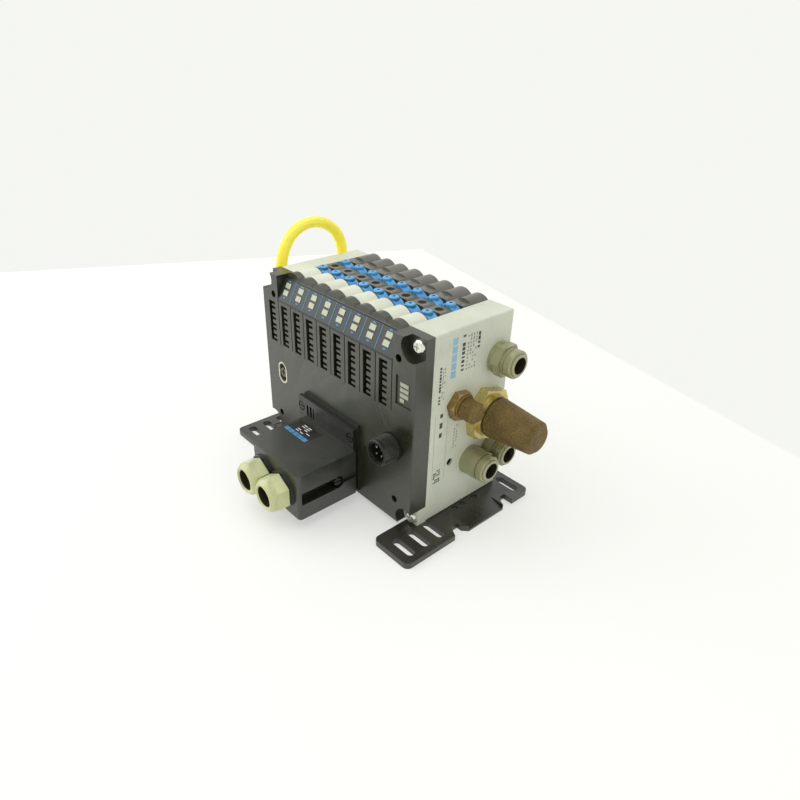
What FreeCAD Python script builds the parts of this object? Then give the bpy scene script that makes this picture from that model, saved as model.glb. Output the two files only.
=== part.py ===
import FreeCAD, Part
import Sketcher
import math
import os
import re

os.makedirs("parts", exist_ok=True)
doc = FreeCAD.newDocument("valve_island")
sheet = doc.addObject("Spreadsheet::Sheet", "sizes")
Vector = FreeCAD.Vector
nodes = []

# Driving sizes in millimetres, one cell each
driving = {
    # Valve bank: equal slices side by side between two end plates
    "valve_pitch": 14,
    "valve_count": 8,
    "slice_gap": 0.2,
    "left_plate": 14.5,
    "right_plate": 19,
    "body_depth": 64,
    "body_height": 124,
    "plate_round": 1.2,
    "arch_rise": 3,
    "arch_crest": 2,
    # Front cover
    "cover_depth": 13,
    "cover_lip": 3.5,
    "cover_gap": 0.1,
    "strip_edge": 2.5,
    "strip_tall": 13,
    "strip_back": 6.8,
    "strip_thick": 1.4,
    "strip_gap": 0.1,
    "comb_down": 3.5,
    "comb_tall": 28.4,
    "comb_width": 7,
    "comb_shift": 0.5,
    "comb_deep": 9,
    "comb_pairs": 4,
    "tooth_thick": 1.5,
    "web_thick": 2.6,
    "tooth_long": 3.8,
    "groove_wide": 0.7,
    "groove_deep": 0.6,
    "groove_below": 0.8,
    "pin_hole": 2.3,
    "pin_hole_out": 5,
    "pin_hole_low": 16,
    "pin_hole_left": 21,
    "pin_hole_down": 13.5,
    # Corner wells of the cover and the screws in them
    "screw_inset": 4.5,
    "screw_edge": 4.9,
    "left_well": 11,
    "corner_bore": 8,
    "corner_floor": 6.6,
    "lug_front": 6.7,
    "head_radius": 3.9,
    "head_tall": 2.6,
    "shank_radius": 1.95,
    "shank_long": 10,
    "thread_play": 0.1,
    "cross_long": 4.4,
    "cross_wide": 1,
    # Status window with its light bars, and the strip's lenses
    "window_left": 3.4,
    "window_wide": 13,
    "window_down": 23.5,
    "window_tall": 18,
    "window_deep": 0.8,
    "bar_wide": 6.6,
    "bar_tall": 2.3,
    "bar_step": 3.3,
    "bar_low": 2,
    "bar_count": 4,
    "lens_wide": 5,
    "lens_tall": 3.4,
    "lens_low": 4.2,
    "lens_step": 4.9,
    "lens_shift": 1.2,
    "lens_proud": 0.2,
    # Earth terminal
    "earth_in": 14.1,
    "earth_height": 54.5,
    "earth_wide": 10.4,
    "earth_tall": 16.4,
    "earth_wall": 1.3,
    "earth_deep": 3,
    "earth_head": 3.4,
    "earth_head_tall": 2.2,
    # Round four-pole power plug
    "power_in": 16.6,
    "power_height": 53.6,
    "power_radius": 8,
    "power_long": 13,
    "power_collar": 9,
    "power_collar_long": 1.2,
    "power_socket": 5.9,
    "power_rim": 0.7,
    "pole_radius": 0.75,
    "pole_circle": 3.1,
    "pole_count": 4,
    # Multi-pole socket frame: a front plate on a wider lip
    "frame_left": 31,
    "frame_right": 27,
    "frame_foot": 3,
    "frame_top": 50.5,
    "frame_thick": 4.5,
    "lip_left": 28,
    "lip_right": 28.5,
    "lip_top": 52.5,
    "lip_thick": 2,
    "frame_round": 1,
    "vent_slot": 2,
    "vent_slot_tall": 8,
    "vent_slot_in": 9,
    "vent_slot_step": 3.4,
    "vent_slot_down": 12.5,
    "frame_screw_in": 3.4,
    "frame_screw_down": 7.4,
    "frame_screw_head": 2.7,
    "frame_screw_tall": 1.5,
    # Cable plug
    "plug_left": 24.5,
    "plug_right": 29.5,
    "plug_foot": 4,
    "plug_top": 36,
    "plug_long": 43,
    "plug_round": 2.5,
    "plug_corner": 6,
    "channel_foot": 10.5,
    "channel_tall": 8.5,
    "channel_deep": 7,
    "channel_post": 2.2,
    "channel_long": 25,
    "rail_deep": 1.5,
    "rail_tall": 4,
    "side_screw_in": 29.5,
    "side_head": 2.6,
    # Cable glands
    "gland_spread": 10.7,
    "gland_height": 15.5,
    "gland_flats": 20.4,
    "gland_long": 12,
    "gland_grip": 5,
    "gland_dome": 9,
    "gland_bore": 6.5,
    "gland_rim": 1.9,
    "boss_radius": 11.8,
    "boss_long": 1.4,
    "seal_radius": 10.4,
    "seal_thick": 1,
    "seal_play": 0.4,
    "outlet_deep": 22,
    # Pilot housings on the slices, with their overrides
    "housing_front": 27,
    "seat_down": 11,
    "well_deep": 7.5,
    "well_one": 9.8,
    "bridge": 9.6,
    "well_two": 9,
    "well_slack": 2.3,
    "lump_low": 7,
    "lump_drop": 1.6,
    "button_play": 0.3,
    "button_shift": 1.2,
    "button_radius": 3.3,
    "button_proud": 0.8,
    "button_soft": 1.1,
    "button_eye": 0.8,
    "slit_wide": 0.7,
    "slit_deep": 1.2,
    "stem_radius": 2.2,
    "stem_long": 3.4,
    "stem_play": 0.08,
    "button_travel": 1.5,
    "bridge_bore": 2.7,
    "bridge_deep": 4,
    "bridge_screw": 1.4,
    "driver_slot": 0.8,
    "slot_deep": 0.9,
    # Push-in fittings of the right end plate
    "tube_large": 5,
    "tube_play": 0.1,
    "tube_stop": 0.5,
    "push_stub": 6.5,
    "flange_radius": 9.9,
    "flange_thick": 2.5,
    "upper_body": 8.5,
    "upper_ring": 8.8,
    "upper_long": 15.5,
    "upper_flats": 18.6,
    "upper_hex": 6,
    "front_foot": 9.7,
    "front_body": 9.4,
    "front_ring": 8.7,
    "front_long": 17,
    "rear_body": 7.9,
    "rear_ring": 8.2,
    "rear_long": 15,
    "rear_flats": 16.4,
    "rear_hex": 4.5,
    "ring_long": 4.4,
    "ring_groove": 0.7,
    "rib_step": 1.6,
    "rib_rise": 0.5,
    "collar_wall": 1.9,
    "collar_play": 0.08,
    "collar_long": 7,
    "collar_proud": 1.1,
    "collar_travel": 1,
    "upper_y": 67,
    "upper_z": 96.5,
    "front_y": 50,
    "front_z": 31,
    "rear_y": 68.6,
    "rear_z": 33.5,
    "vent_y": 31.6,
    "vent_z": 36.4,
    "vent_radius": 2.5,
    # Silencers
    "silencer_y": 58.5,
    "silencer_z": 62.4,
    "silencer_flats": 31,
    "silencer_hex": 7,
    "silencer_collar": 13.6,
    "silencer_collar_long": 3,
    "silencer_groove": 11.6,
    "silencer_base": 12.8,
    "silencer_tip": 10.3,
    "silencer_long": 42,
    "silencer_nose": 2,
    "silencer_stub": 9,
    "pilot_y": 34.5,
    "pilot_z": 76,
    "pilot_flats": 16.4,
    "pilot_hex": 5,
    "pilot_collar": 7.4,
    "pilot_radius": 6.5,
    "pilot_long": 17,
    "pilot_nose": 2.6,
    "pilot_stub": 5.5,
    "stub_long": 8,
    "nut_gap": 0.05,
    # Elbow fittings of the left end plate and the tube between them
    "tube_small": 4,
    "elbow_front_y": 23,
    "elbow_rear_y": 68,
    "elbow_z": 52,
    "elbow_out": 10.5,
    "elbow_body": 7.2,
    "elbow_tall": 18,
    "elbow_stub": 5,
    "elbow_flats": 15,
    "elbow_hex": 4,
    "tube_in": 12,
    "loop_radius": 25.6,
    "loop_y": 47.3,
    "loop_z": 119.7,
    "loop_lean": 2,
    "leg_start": 8,
    "leg_rise": 31,
    "leg_in": 0.8,
    # Brackets
    "bracket_thick": 4,
    "bracket_out": 21,
    "bracket_in": 9,
    "bracket_round": 4,
    "bracket_lead": 8.8,
    "bracket_tail": 7,
    "rows_apart": 94,
    "slot_lead": 12,
    "slot_pitch": 12,
    "slot_out": 8,
    "slot_long": 17,
    "slot_wide": 5.4,
    "notch_deep": 7,
    "notch_wide": 9,
    "notch_front": 18.5,
    "notch_rear": 63,
    "rib_hole": 1.9,
    "rib_hole_out": 3,
    "rib_hole_first": 37,
    "rib_hole_second": 44,
    "rib_hole_third": 55,
    "bevel_wide": 11,
    "bevel_deep": 2.6,
}
for row, (alias, number) in enumerate(driving.items(), 1):
    sheet.set("A%d" % row, alias)
    sheet.set("B%d" % row, str(number))
    sheet.setAlias("B%d" % row, alias)

# Heights that keep their distance from the body's top
heights = {
    "strip_top": "body_height - strip_edge",
    "strip_foot": "strip_top - strip_tall",
    "comb_top": "strip_foot - comb_down",
    "comb_foot": "comb_top - comb_tall",
    "groove_foot": "comb_foot - groove_below",
    "pin_hole_high": "body_height - pin_hole_down",
    "window_foot": "body_height - window_down - window_tall",
    "housing_seat": "body_height - seat_down",
    "well_floor": "body_height + arch_crest - well_deep",
}


def ref(text):
    """An expression in the words of the sheet, with the heights written out."""
    def word(found):
        name = found.group(0)
        if name in heights:
            return "(%s)" % ref(heights[name])
        return "sizes." + name if name in driving else name
    return re.sub(r"[a-z]\w*", word, text)


def value(text):
    """The number that an expression gives now."""
    answer = sheet.evalExpression(ref(str(text)))
    return float(getattr(answer, "Value", answer))


def tie(obj, **cells):
    """Bind properties of an object to expressions."""
    for name, text in cells.items():
        obj.setExpression(name, ref(str(text)))
    return obj


def place(obj, x, y, z, turn=None):
    """Put an object at expressions, turned about an axis."""
    if turn:
        obj.Placement = FreeCAD.Placement(Vector(0, 0, 0), FreeCAD.Rotation(Vector(*turn[0]), turn[1]))
    for axis, text in zip("xyz", (x, y, z)):
        obj.setExpression("Placement.Base." + axis, ref(str(text)))
    return obj


def block(x, y, z, wide, deep, tall):
    """A box from its lowest corner."""
    obj = doc.addObject("Part::Box", "block")
    tie(obj, Length=wide, Width=deep, Height=tall)
    return place(obj, x, y, z)


TURNS = {"x": ((0, 1, 0), 90), "y": ((1, 0, 0), -90), "z": None}
flat_up = 30


def rod(x, y, z, radius, length, axis="z"):
    """A cylinder from the centre of its lower end."""
    obj = doc.addObject("Part::Cylinder", "rod")
    tie(obj, Radius=radius, Height=length)
    return place(obj, x, y, z, TURNS[axis])


def hexagon(x, y, z, flats, length, axis="z", spin=0):
    """A hexagonal bar, given over its flats; spin turns it about its own axis."""
    obj = doc.addObject("Part::Prism", "hexagon")
    obj.Polygon = 6
    tie(obj, Circumradius="(%s) / sqrt(3)" % flats, Height=length)
    place(obj, x, y, z, TURNS[axis])
    obj.Placement.Rotation = obj.Placement.Rotation * FreeCAD.Rotation(Vector(0, 0, 1), spin)
    return obj


def fuse(*pieces):
    obj = doc.addObject("Part::MultiFuse", "joined")
    obj.Shapes = list(pieces)
    return obj


def group(*pieces):
    obj = doc.addObject("Part::Compound", "set")
    obj.Links = list(pieces)
    return obj


def cut(base, *tools):
    """The base without the tools."""
    obj = doc.addObject("Part::Cut", "cut")
    obj.Base = base
    obj.Tool = tools[0] if len(tools) == 1 else fuse(*tools)
    return obj


def common(first, second):
    obj = doc.addObject("Part::MultiCommon", "shared")
    obj.Shapes = [first, second]
    return obj


def sketch(body, plane, corners):
    """A closed outline; a third value in a corner is the radius of the arc that leaves it."""
    flat = [face for face in body.Origin.OriginFeatures if face.Role == plane][0]
    drawing = body.newObject("Sketcher::SketchObject", "outline")
    drawing.AttachmentSupport = [(flat, "")]
    drawing.MapMode = "FlatFace"
    spots = [Vector(value(c[0]), value(c[1]), 0) for c in corners]
    count = len(corners)
    for i, corner in enumerate(corners):
        a, b = spots[i], spots[(i + 1) % count]
        if len(corner) == 2:
            drawing.addGeometry(Part.LineSegment(a, b), False)
            continue
        radius = value(corner[2])
        chord = b - a
        across = Vector(-chord.y, chord.x, 0).normalize()
        centre = (a + b) * 0.5 + across * math.sqrt(radius * radius - chord.Length ** 2 / 4)
        first = math.atan2(a.y - centre.y, a.x - centre.x)
        last = math.atan2(b.y - centre.y, b.x - centre.x)
        circle = Part.Circle(centre, Vector(0, 0, 1), radius)
        drawing.addGeometry(Part.ArcOfCircle(circle, first, last), False)
    for i, corner in enumerate(corners):
        after = (i + 1) % count
        drawing.addConstraint(Sketcher.Constraint("Coincident", i, 2, after, 1))
        for kind, text, spot in (("DistanceX", corner[0], spots[i].x), ("DistanceY", corner[1], spots[i].y)):
            where = drawing.addConstraint(Sketcher.Constraint(kind, -1, 1, i, 1, spot))
            drawing.setExpression("Constraints[%d]" % where, ref(str(text)))
        if len(corner) == 3:
            where = drawing.addConstraint(Sketcher.Constraint("Radius", i, value(corner[2])))
            drawing.setExpression("Constraints[%d]" % where, ref(str(corner[2])))
    return drawing


def pad(name, plane, corners, length, flip=False):
    """A body that is one outline pushed out of an origin plane."""
    body = doc.addObject("PartDesign::Body", name)
    solid = body.newObject("PartDesign::Pad", "push")
    solid.Profile = sketch(body, plane, corners)
    solid.Reversed = flip
    tie(solid, Length=length)
    body.Tip = solid
    return body


def turned(name, corners):
    """A body of revolution about its own X axis; corners are (along, radius)."""
    body = doc.addObject("PartDesign::Body", name)
    drawing = sketch(body, "XY_Plane", corners)
    solid = body.newObject("PartDesign::Revolution", "turn")
    solid.Profile = drawing
    solid.ReferenceAxis = (drawing, ["H_Axis"])
    solid.Angle = 360
    body.Tip = solid
    return body


def softened(obj, radius, chosen):
    """Round the edges that a test picks."""
    doc.recompute()
    edges = [i + 1 for i, edge in enumerate(obj.Shape.Edges) if chosen(edge)]
    rounded = doc.addObject("Part::Fillet", "softened")
    rounded.Base = obj
    amount = value(radius)
    rounded.Edges = [(i, amount, amount) for i in edges]
    return rounded


def runs(edge, axis):
    """True for a straight edge along an axis."""
    if edge.Curve.TypeId != "Part::GeomLine":
        return False
    return abs(getattr(edge.Curve.Direction, axis)) > 0.999


def node(name, obj):
    """A finished sub-part, in the frame of the island's body."""
    obj.Label = name
    place(obj, bank_x, face_y, floor_z)
    nodes.append(obj)


# The island's own frame: X from the middle of the bank, Y from the cover's face, Z from the plates' foot
half = "(valve_pitch * valve_count / 2)"
left = "(-%s - left_plate)" % half
right = "(%s + right_plate)" % half
bank_x = "(left_plate - right_plate) / 2"
earth_x = "(%s + earth_in)" % left
power_x = "(%s - power_in)" % right
face_y = "slot_lead - rows_apart / 2"
floor_z = "bracket_thick"
back = "(cover_depth + body_depth)"
wells_x = (left, "(%s - screw_inset)" % right)
screw_low = "screw_edge"
screw_high = "(body_height - screw_edge)"


def slice_x(i):
    """Left side of slice i, counted from 0."""
    return "(valve_pitch * %d - %s + slice_gap / 2)" % (i, half)


slice_wide = "(valve_pitch - slice_gap)"
arch_radius = "((pow(%s; 2) / 4 + pow(arch_rise; 2)) / (2 * arch_rise))" % slice_wide
crest_z = "(body_height + arch_crest)"
strip_lean = "(strip_thick * 0.9)"


def arched(name, i, foot, front, deep, drop=0):
    """A slab one slice wide whose top is arched across the slice."""
    eave = "(%s - arch_rise - %s)" % (crest_z, drop)
    corners = [(0, foot), (slice_wide, foot), (slice_wide, eave, arch_radius), (0, eave)]
    body = pad(name, "XZ_Plane", corners, deep, True)
    return place(body, slice_x(i), front, 0)


def end_plate(x, thick, face):
    """A cast end plate with soft edges along its outer face."""
    return softened(block(x, "cover_depth", 0, thick, "body_depth", "body_height"), "plate_round",
                    lambda e: runs(e, "y") and abs(e.BoundBox.XMin - value(face)) < 0.01)


def make_right_plate():
    """Right end plate: a lug at its front foot, screw holes and the seats of every fitting on its face."""
    play = " + thread_play"
    lug = common(rod(wells_x[1], "lug_front", screw_low, "corner_bore - cover_gap",
                     "cover_depth - lug_front + 1", "y"),
                 block(half, "lug_front", 0, "right_plate", "body_depth", "body_height"))
    holes = [rod(wells_x[1], "lug_front - 1", screw_low, "shank_radius" + play, "shank_long + 2", "y"),
             rod(wells_x[1], "cover_depth - 1", screw_high, "shank_radius" + play, "shank_long + 2", "y"),
             rod("%s - stub_long" % right, "vent_y", "vent_z", "vent_radius", "stub_long + 1", "x")]
    for y, z, radius in (("upper_y", "upper_z", "push_stub"), ("front_y", "front_z", "push_stub"),
                         ("rear_y", "rear_z", "push_stub"), ("silencer_y", "silencer_z", "silencer_stub"),
                         ("pilot_y", "pilot_z", "pilot_stub")):
        holes.append(rod("%s - stub_long - 1" % right, y, z, radius + play, "stub_long + 2", "x"))
    node("end_plate_right", cut(fuse(end_plate(half, "right_plate", right), lug), *holes))


def make_left_plate():
    """Left end plate, with the seats of the two elbows."""
    holes = [rod("%s - 1" % left, y, "elbow_z", "elbow_stub + thread_play", "stub_long + 2", "x")
             for y in ("elbow_front_y", "elbow_rear_y")]
    node("end_plate_left", cut(end_plate(left, "left_plate", left), *holes))


def make_slices():
    """Slices of the bank, each with a seat for its pilot housing."""
    for i in range(int(value("valve_count"))):
        slab = arched("slice", i, 0, "cover_depth", "body_depth")
        seat = block(slice_x(i) + " - 1", "housing_front", "housing_seat", "valve_pitch + 2",
                     "body_depth", "body_height")
        node("valve_body_%d" % (i + 1), cut(slab, seat))


well_two_y = "(housing_front + well_one + bridge)"
lump_y = "(%s + well_two)" % well_two_y
button_y = ("(housing_front + (well_one - well_slack) / 2)",
            "(%s + (well_two - well_slack) / 2)" % well_two_y)
button_deep = ("(well_one - well_slack - 2 * button_play)", "(well_two - well_slack - 2 * button_play)")
saddle_low = "(well_floor + button_travel + 0.5)"


def slice_middle(i):
    """Middle of slice i across the bank."""
    return "(%s + %s / 2)" % (slice_x(i), slice_wide)


def button_x(i):
    """Axis of the overrides of slice i, a little right of its middle."""
    return "(%s + button_shift)" % slice_middle(i)


def make_housings():
    """Pilot housings: a stepped side profile under the same arch as the slices."""
    low = "(%s - lump_drop)" % crest_z
    for i in range(int(value("valve_count"))):
        steps = [("housing_front + cover_gap", "housing_seat"),
                 (back, "housing_seat"),
                 (back, crest_z),
                 ("%s + lump_low" % lump_y, crest_z),
                 ("%s + lump_low" % lump_y, low),
                 (lump_y, low),
                 (lump_y, "well_floor"),
                 (well_two_y, "well_floor"),
                 (well_two_y, low),
                 ("housing_front + well_one", low),
                 ("housing_front + well_one", "well_floor"),
                 ("housing_front + cover_gap", "well_floor")]
        side = pad("steps", "YZ_Plane", steps, slice_wide)
        place(side, slice_x(i), 0, 0)
        arch = arched("arch", i, "housing_seat", "housing_front", back)
        holes = [rod(button_x(i), y, "well_floor - stem_long", "stem_radius + stem_play", "stem_long + 1")
                 for y in button_y]
        holes.append(rod(slice_middle(i), "housing_front + well_one + bridge / 2", "%s - bridge_deep" % low,
                         "bridge_bore", "bridge_deep + 1"))
        node("pilot_housing_%d" % (i + 1), cut(common(side, arch), *holes))


def make_buttons():
    """Manual overrides: a saddle that follows the arch, a domed button beside a slit, and a guided stem."""
    wide = "(%s - 2 * button_play)" % slice_wide
    eave = "(%s - arch_rise)" % crest_z
    top = "(%s + button_proud)" % crest_z
    for i in range(int(value("valve_count"))):
        middle = button_x(i)
        for y, deep, name in zip(button_y, button_deep, ("front", "rear")):
            corners = [(0, saddle_low), (wide, saddle_low), (wide, eave, arch_radius), (0, eave)]
            saddle = pad("saddle", "XZ_Plane", corners, deep, True)
            place(saddle, slice_x(i) + " + button_play", "%s - %s / 2" % (y, deep), 0)
            radius = "min(button_radius; %s / 2)" % deep
            button = softened(rod(middle, y, eave, radius, "arch_rise + button_proud"), "button_soft",
                              lambda e: e.BoundBox.ZMin > value(top) - 0.01)
            stem = rod(middle, y, "%s - stem_long" % saddle_low, "stem_radius", "stem_long + 1")
            eye = rod(middle, y, "%s - 1" % top, "button_eye", 2)
            slit = block("%s - %s - 1.5 * slit_wide" % (middle, radius), "%s - %s" % (y, deep),
                         "%s - slit_deep" % crest_z, "slit_wide", "2 * %s" % deep, "slit_deep + 1")
            node("override_%s_%d" % (name, i + 1), cut(fuse(saddle, button, stem), eye, slit))


def make_housing_screws():
    """Brass slotted screws at the bottom of the bridges' bores."""
    screws = []
    y = "housing_front + well_one + bridge / 2"
    foot = "%s - lump_drop - bridge_deep" % crest_z
    for i in range(int(value("valve_count"))):
        middle = slice_middle(i)
        head = rod(middle, y, foot, "bridge_bore - thread_play", "bridge_screw")
        slot = block("%s - bridge_bore" % middle, "%s - driver_slot / 2" % y, "%s + bridge_screw / 2" % foot,
                     "2 * bridge_bore", "driver_slot", "bridge_screw")
        screws.append(cut(head, slot))
    node("housing_screws", group(*screws))


def make_cover():
    """Front cover: a housing with combed slots, a slope for the strip, arches and four corner wells."""
    shell = softened(block("%s - cover_lip" % left, 0, 0, "%s - %s + cover_lip" % (right, left),
                           "cover_depth - cover_gap", "body_height"), "plate_round / 2",
                     lambda e: runs(e, "z") and e.BoundBox.YMin < 0.01)
    slope = pad("slope", "YZ_Plane",
                [(-1, "strip_foot - strip_thick"), (strip_lean, "strip_foot - strip_thick"),
                 ("strip_back + %s" % strip_lean, "strip_top"), ("cover_depth + 1", "strip_top"),
                 ("cover_depth + 1", "body_height + 1"), (-1, "body_height + 1")],
                "valve_pitch * valve_count")
    place(slope, "-%s" % half, 0, 0)
    count = int(value("valve_count"))
    tools = [slope] + [comb(i) for i in range(-1, count)]
    for i in range(count + 1):
        tools.append(block("valve_pitch * %d - %s - groove_wide / 2" % (i, half), -1, "groove_foot",
                           "groove_wide", "groove_deep + 1", "strip_foot - groove_foot + 1"))
    for x, low in (("(-%s - pin_hole_out)" % half, "pin_hole_left"),
                   ("(%s + pin_hole_out)" % half, "pin_hole_low")):
        for z in (low, "pin_hole_high"):
            tools.append(rod(x, -1, z, "pin_hole", "cover_depth + 2", "y"))
    for x, low in zip(wells_x, ("left_well", screw_low)):
        tools.append(rod(x, -1, screw_high, "corner_bore", "corner_floor + 1", "y"))
        tools.append(rod(x, -1, low, "corner_bore", "cover_depth + 2", "y"))
    tools.append(rod(wells_x[1], -1, screw_high, "shank_radius + thread_play", "cover_depth + 2", "y"))
    tools.append(block("%s - cover_lip - 1" % left, "corner_floor", "%s - corner_bore" % screw_high,
                       "cover_lip + 1", "cover_depth", "corner_bore * 2"))
    tools.append(block("%s + window_left" % half, -1, "window_foot", "window_wide", "window_deep + 1",
                       "window_tall"))
    tools.append(rod(power_x, -1, "power_height", "power_radius + thread_play", "cover_depth + 2", "y"))
    tools.append(upright_slot("earth_wide / 2", -1, "cover_depth + 2"))
    arches = [arched("arch", i, "strip_top - 1", "strip_back + %s" % strip_lean,
                     "cover_depth - cover_gap - strip_back - %s" % strip_lean) for i in range(count)]
    node("front_cover", fuse(cut(shell, *tools), *arches))


def comb(i):
    """The void of one slot: a tall gap on the left, with pairs of gaps between teeth on its right."""
    edge = "(%s - comb_shift - comb_width / 2)" % slice_middle(i)
    void = block(edge, -1, "comb_foot", "comb_width - tooth_long", "comb_deep + 1", "comb_top - comb_foot")
    pitch = "((comb_top - comb_foot + web_thick) / comb_pairs)"
    gap = "((%s - web_thick - tooth_thick) / 2)" % pitch
    gaps = []
    for pair in range(int(value("comb_pairs"))):
        for lift in ("0", "(%s + tooth_thick)" % gap):
            gaps.append(block("%s + 0.5" % edge, -1, "comb_foot + %s * %d + %s" % (pitch, pair, lift),
                              "comb_width - 0.5", "comb_deep + 1", gap))
    return fuse(void, *gaps)


def upright_slot(radius, front, deep):
    """An upright bar with round ends about the earth terminal's place."""
    reach = "((earth_tall - earth_wide) / 2)"
    ends = [rod(earth_x, front, "earth_height %s %s" % (sign, reach), radius, deep, "y") for sign in "+-"]
    middle = block("%s - %s" % (earth_x, radius), front, "earth_height - %s" % reach, "2 * (%s)" % radius,
                   deep, "2 * %s" % reach)
    return fuse(middle, *ends)


def make_earth_screw():
    """Earth terminal: a cup with round ends, nearly flush with the cover, and a screw on its floor."""
    cup = upright_slot("(earth_wide / 2 - cover_gap)", "cover_gap", "cover_depth - 2 * cover_gap")
    hollow = upright_slot("(earth_wide / 2 - cover_gap - earth_wall)", -1, "earth_deep + 1")
    hole = rod(earth_x, -1, "earth_height", "shank_radius + thread_play", "cover_depth + 2", "y")
    head = rod(earth_x, "earth_deep - earth_head_tall", "earth_height", "earth_head",
               "earth_head_tall", "y")
    shank = rod(earth_x, "earth_deep", "earth_height", "shank_radius", "cover_depth - earth_deep - 2", "y")
    recess = cross(earth_x, "earth_deep - earth_head_tall", "earth_height", "earth_head_tall / 2")
    node("earth_screw", group(cut(cup, hollow, hole), cut(fuse(head, shank), *recess)))


def cross(x, y, z, deep):
    """The two blades of a cross recess that opens towards the front."""
    return [block("%s - cross_long / 2" % x, "%s - 1" % y, "%s - cross_wide / 2" % z,
                  "cross_long", "1 + %s" % deep, "cross_wide"),
            block("%s - cross_wide / 2" % x, "%s - 1" % y, "%s - cross_long / 2" % z,
                  "cross_wide", "1 + %s" % deep, "cross_long")]


def make_cover_screws():
    """Pan-head screws with a cross recess, in the two wells of the cover's right side."""
    screws = []
    x = wells_x[1]
    for z, seat, long in ((screw_high, "corner_floor", "cover_depth - corner_floor + shank_long"),
                          (screw_low, "lug_front", "shank_long")):
        head = softened(rod(x, "%s - head_tall" % seat, z, "head_radius", "head_tall", "y"), "head_tall / 2",
                        lambda e, s=seat: e.BoundBox.YMax < value(s) - value("head_tall") + 0.01)
        shank = rod(x, seat, z, "shank_radius", long, "y")
        recess = cross(x, "(%s - head_tall)" % seat, z, "head_tall / 2")
        screws.append(cut(fuse(head, shank), *recess))
    node("cover_screws", group(*screws))


def make_strip():
    """Sloped display strip on the cover's slope."""
    strip = pad("strip", "YZ_Plane",
                [("strip_gap / 2", "strip_foot"), ("strip_back", "strip_top - strip_gap"),
                 ("strip_back + %s - strip_gap" % strip_lean, "strip_top - strip_gap"),
                 ("%s - strip_gap" % strip_lean, "strip_foot - strip_thick + strip_gap"),
                 ("strip_gap / 2", "strip_foot - strip_thick + strip_gap")],
                "valve_pitch * valve_count - 2 * cover_gap")
    place(strip, "-%s + cover_gap" % half, 0, 0)
    node("display_strip", lifted(strip))


tilt = "atan2(strip_back; strip_top - strip_foot)"


def lens_spot(i, k):
    """Lowest left corner of lens k of column i, on the slope."""
    up = "(lens_low + lens_step * %d)" % k
    lean = math.atan2(value("strip_back"), value("strip_top - strip_foot"))
    x = "%s - lens_wide / 2 - lens_shift" % slice_middle(i)
    y = "%s * sin(%s) - lens_proud" % (up, tilt)
    z = "strip_foot + %s * cos(%s)" % (up, tilt)
    return x, y, z, math.degrees(lean)


def make_lenses():
    """Two light lenses for each slice on the strip, and the status window's bars, the lowest one short."""
    lenses = []
    for i in range(int(value("valve_count"))):
        for k in range(2):
            x, y, z, lean = lens_spot(i, k)
            lens = doc.addObject("Part::Box", "lens")
            tie(lens, Length="lens_wide", Width="lens_proud", Height="lens_tall")
            place(lens, x, y, z, ((1, 0, 0), -lean))
            lenses.append(lens)
    for k in range(int(value("bar_count"))):
        wide = "bar_wide" if k else "bar_wide / 2"
        lenses.append(block("%s + window_left + (window_wide - bar_wide) / 2" % half, "window_deep - 0.5",
                            "window_foot + bar_low + bar_step * %d" % k, wide, 0.5, "bar_tall"))
    node("light_lenses", group(*lenses))


def make_power_plug():
    """Round plug: a low collar and a sleeve with a stepped rim and its socket, turned about its own axis."""
    inner = "(cover_depth - cover_gap)"
    sleeve = turned("sleeve", [(0, 0), (inner, 0), (inner, "power_radius"), (0, "power_radius"),
                               (0, "power_collar"), ("-power_collar_long", "power_collar"),
                               ("-power_collar_long", "power_radius"),
                               ("power_rim - power_long", "power_radius"),
                               ("-power_long", "power_radius - power_rim"),
                               ("-power_long", "power_socket + power_rim"),
                               ("power_rim - power_long", "power_socket + power_rim"),
                               ("power_rim - power_long", "power_socket"), (-3, "power_socket"), (-3, 0)])
    place(sleeve, power_x, 0, "power_height", ((0, 0, 1), 90))
    node("power_connector", lifted(sleeve))
    poles = []
    for k in range(int(value("pole_count"))):
        angle = "(45 + %d * 360 / pole_count)" % k
        poles.append(rod("%s + pole_circle * cos(%s)" % (power_x, angle), "2.5 - power_long",
                         "power_height + pole_circle * sin(%s)" % angle, "pole_radius",
                         "power_long - 5.5", "y"))
    node("connector_pins", group(*poles))


def lifted(obj):
    """Carry a piece that was placed by itself into the island's frame."""
    return group(obj)


frame_screw_x = ("(frame_screw_in - frame_left)", "(frame_right - frame_screw_in)")
frame_screw_z = "(frame_top - frame_screw_down)"


def make_frame():
    """Socket frame: a front plate with vents and screw recesses, on a wider lip."""
    plate = softened(block("-frame_left", "-frame_thick", "frame_foot", "frame_left + frame_right",
                           "frame_thick - lip_thick", "frame_top - frame_foot"), "frame_round",
                     lambda e: runs(e, "y"))
    lip = softened(block("-lip_left", "-lip_thick", "frame_foot", "lip_left + lip_right", "lip_thick",
                         "lip_top - frame_foot"), "frame_round", lambda e: runs(e, "y"))
    tools = []
    for step, wide in enumerate(("vent_slot", "vent_slot", "vent_slot / 2")):
        tools.append(block("vent_slot_in - frame_left + vent_slot_step * %d" % step, "-frame_thick - 1",
                           "frame_top - vent_slot_down", wide, 4, "vent_slot_tall"))
    for x in frame_screw_x:
        tools.append(rod(x, "-frame_thick - 1", frame_screw_z, "frame_screw_head + 0.6", 2.6, "y"))
    node("connector_frame", cut(fuse(plate, lip), *tools))


plug_front = "(-frame_thick - plug_long)"
gland_x = ("((plug_right - plug_left) / 2 - gland_spread)", "((plug_right - plug_left) / 2 + gland_spread)")
gland_z = "(plug_foot + gland_height)"
channel_z = "(plug_foot + channel_foot + channel_tall / 2)"


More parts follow.
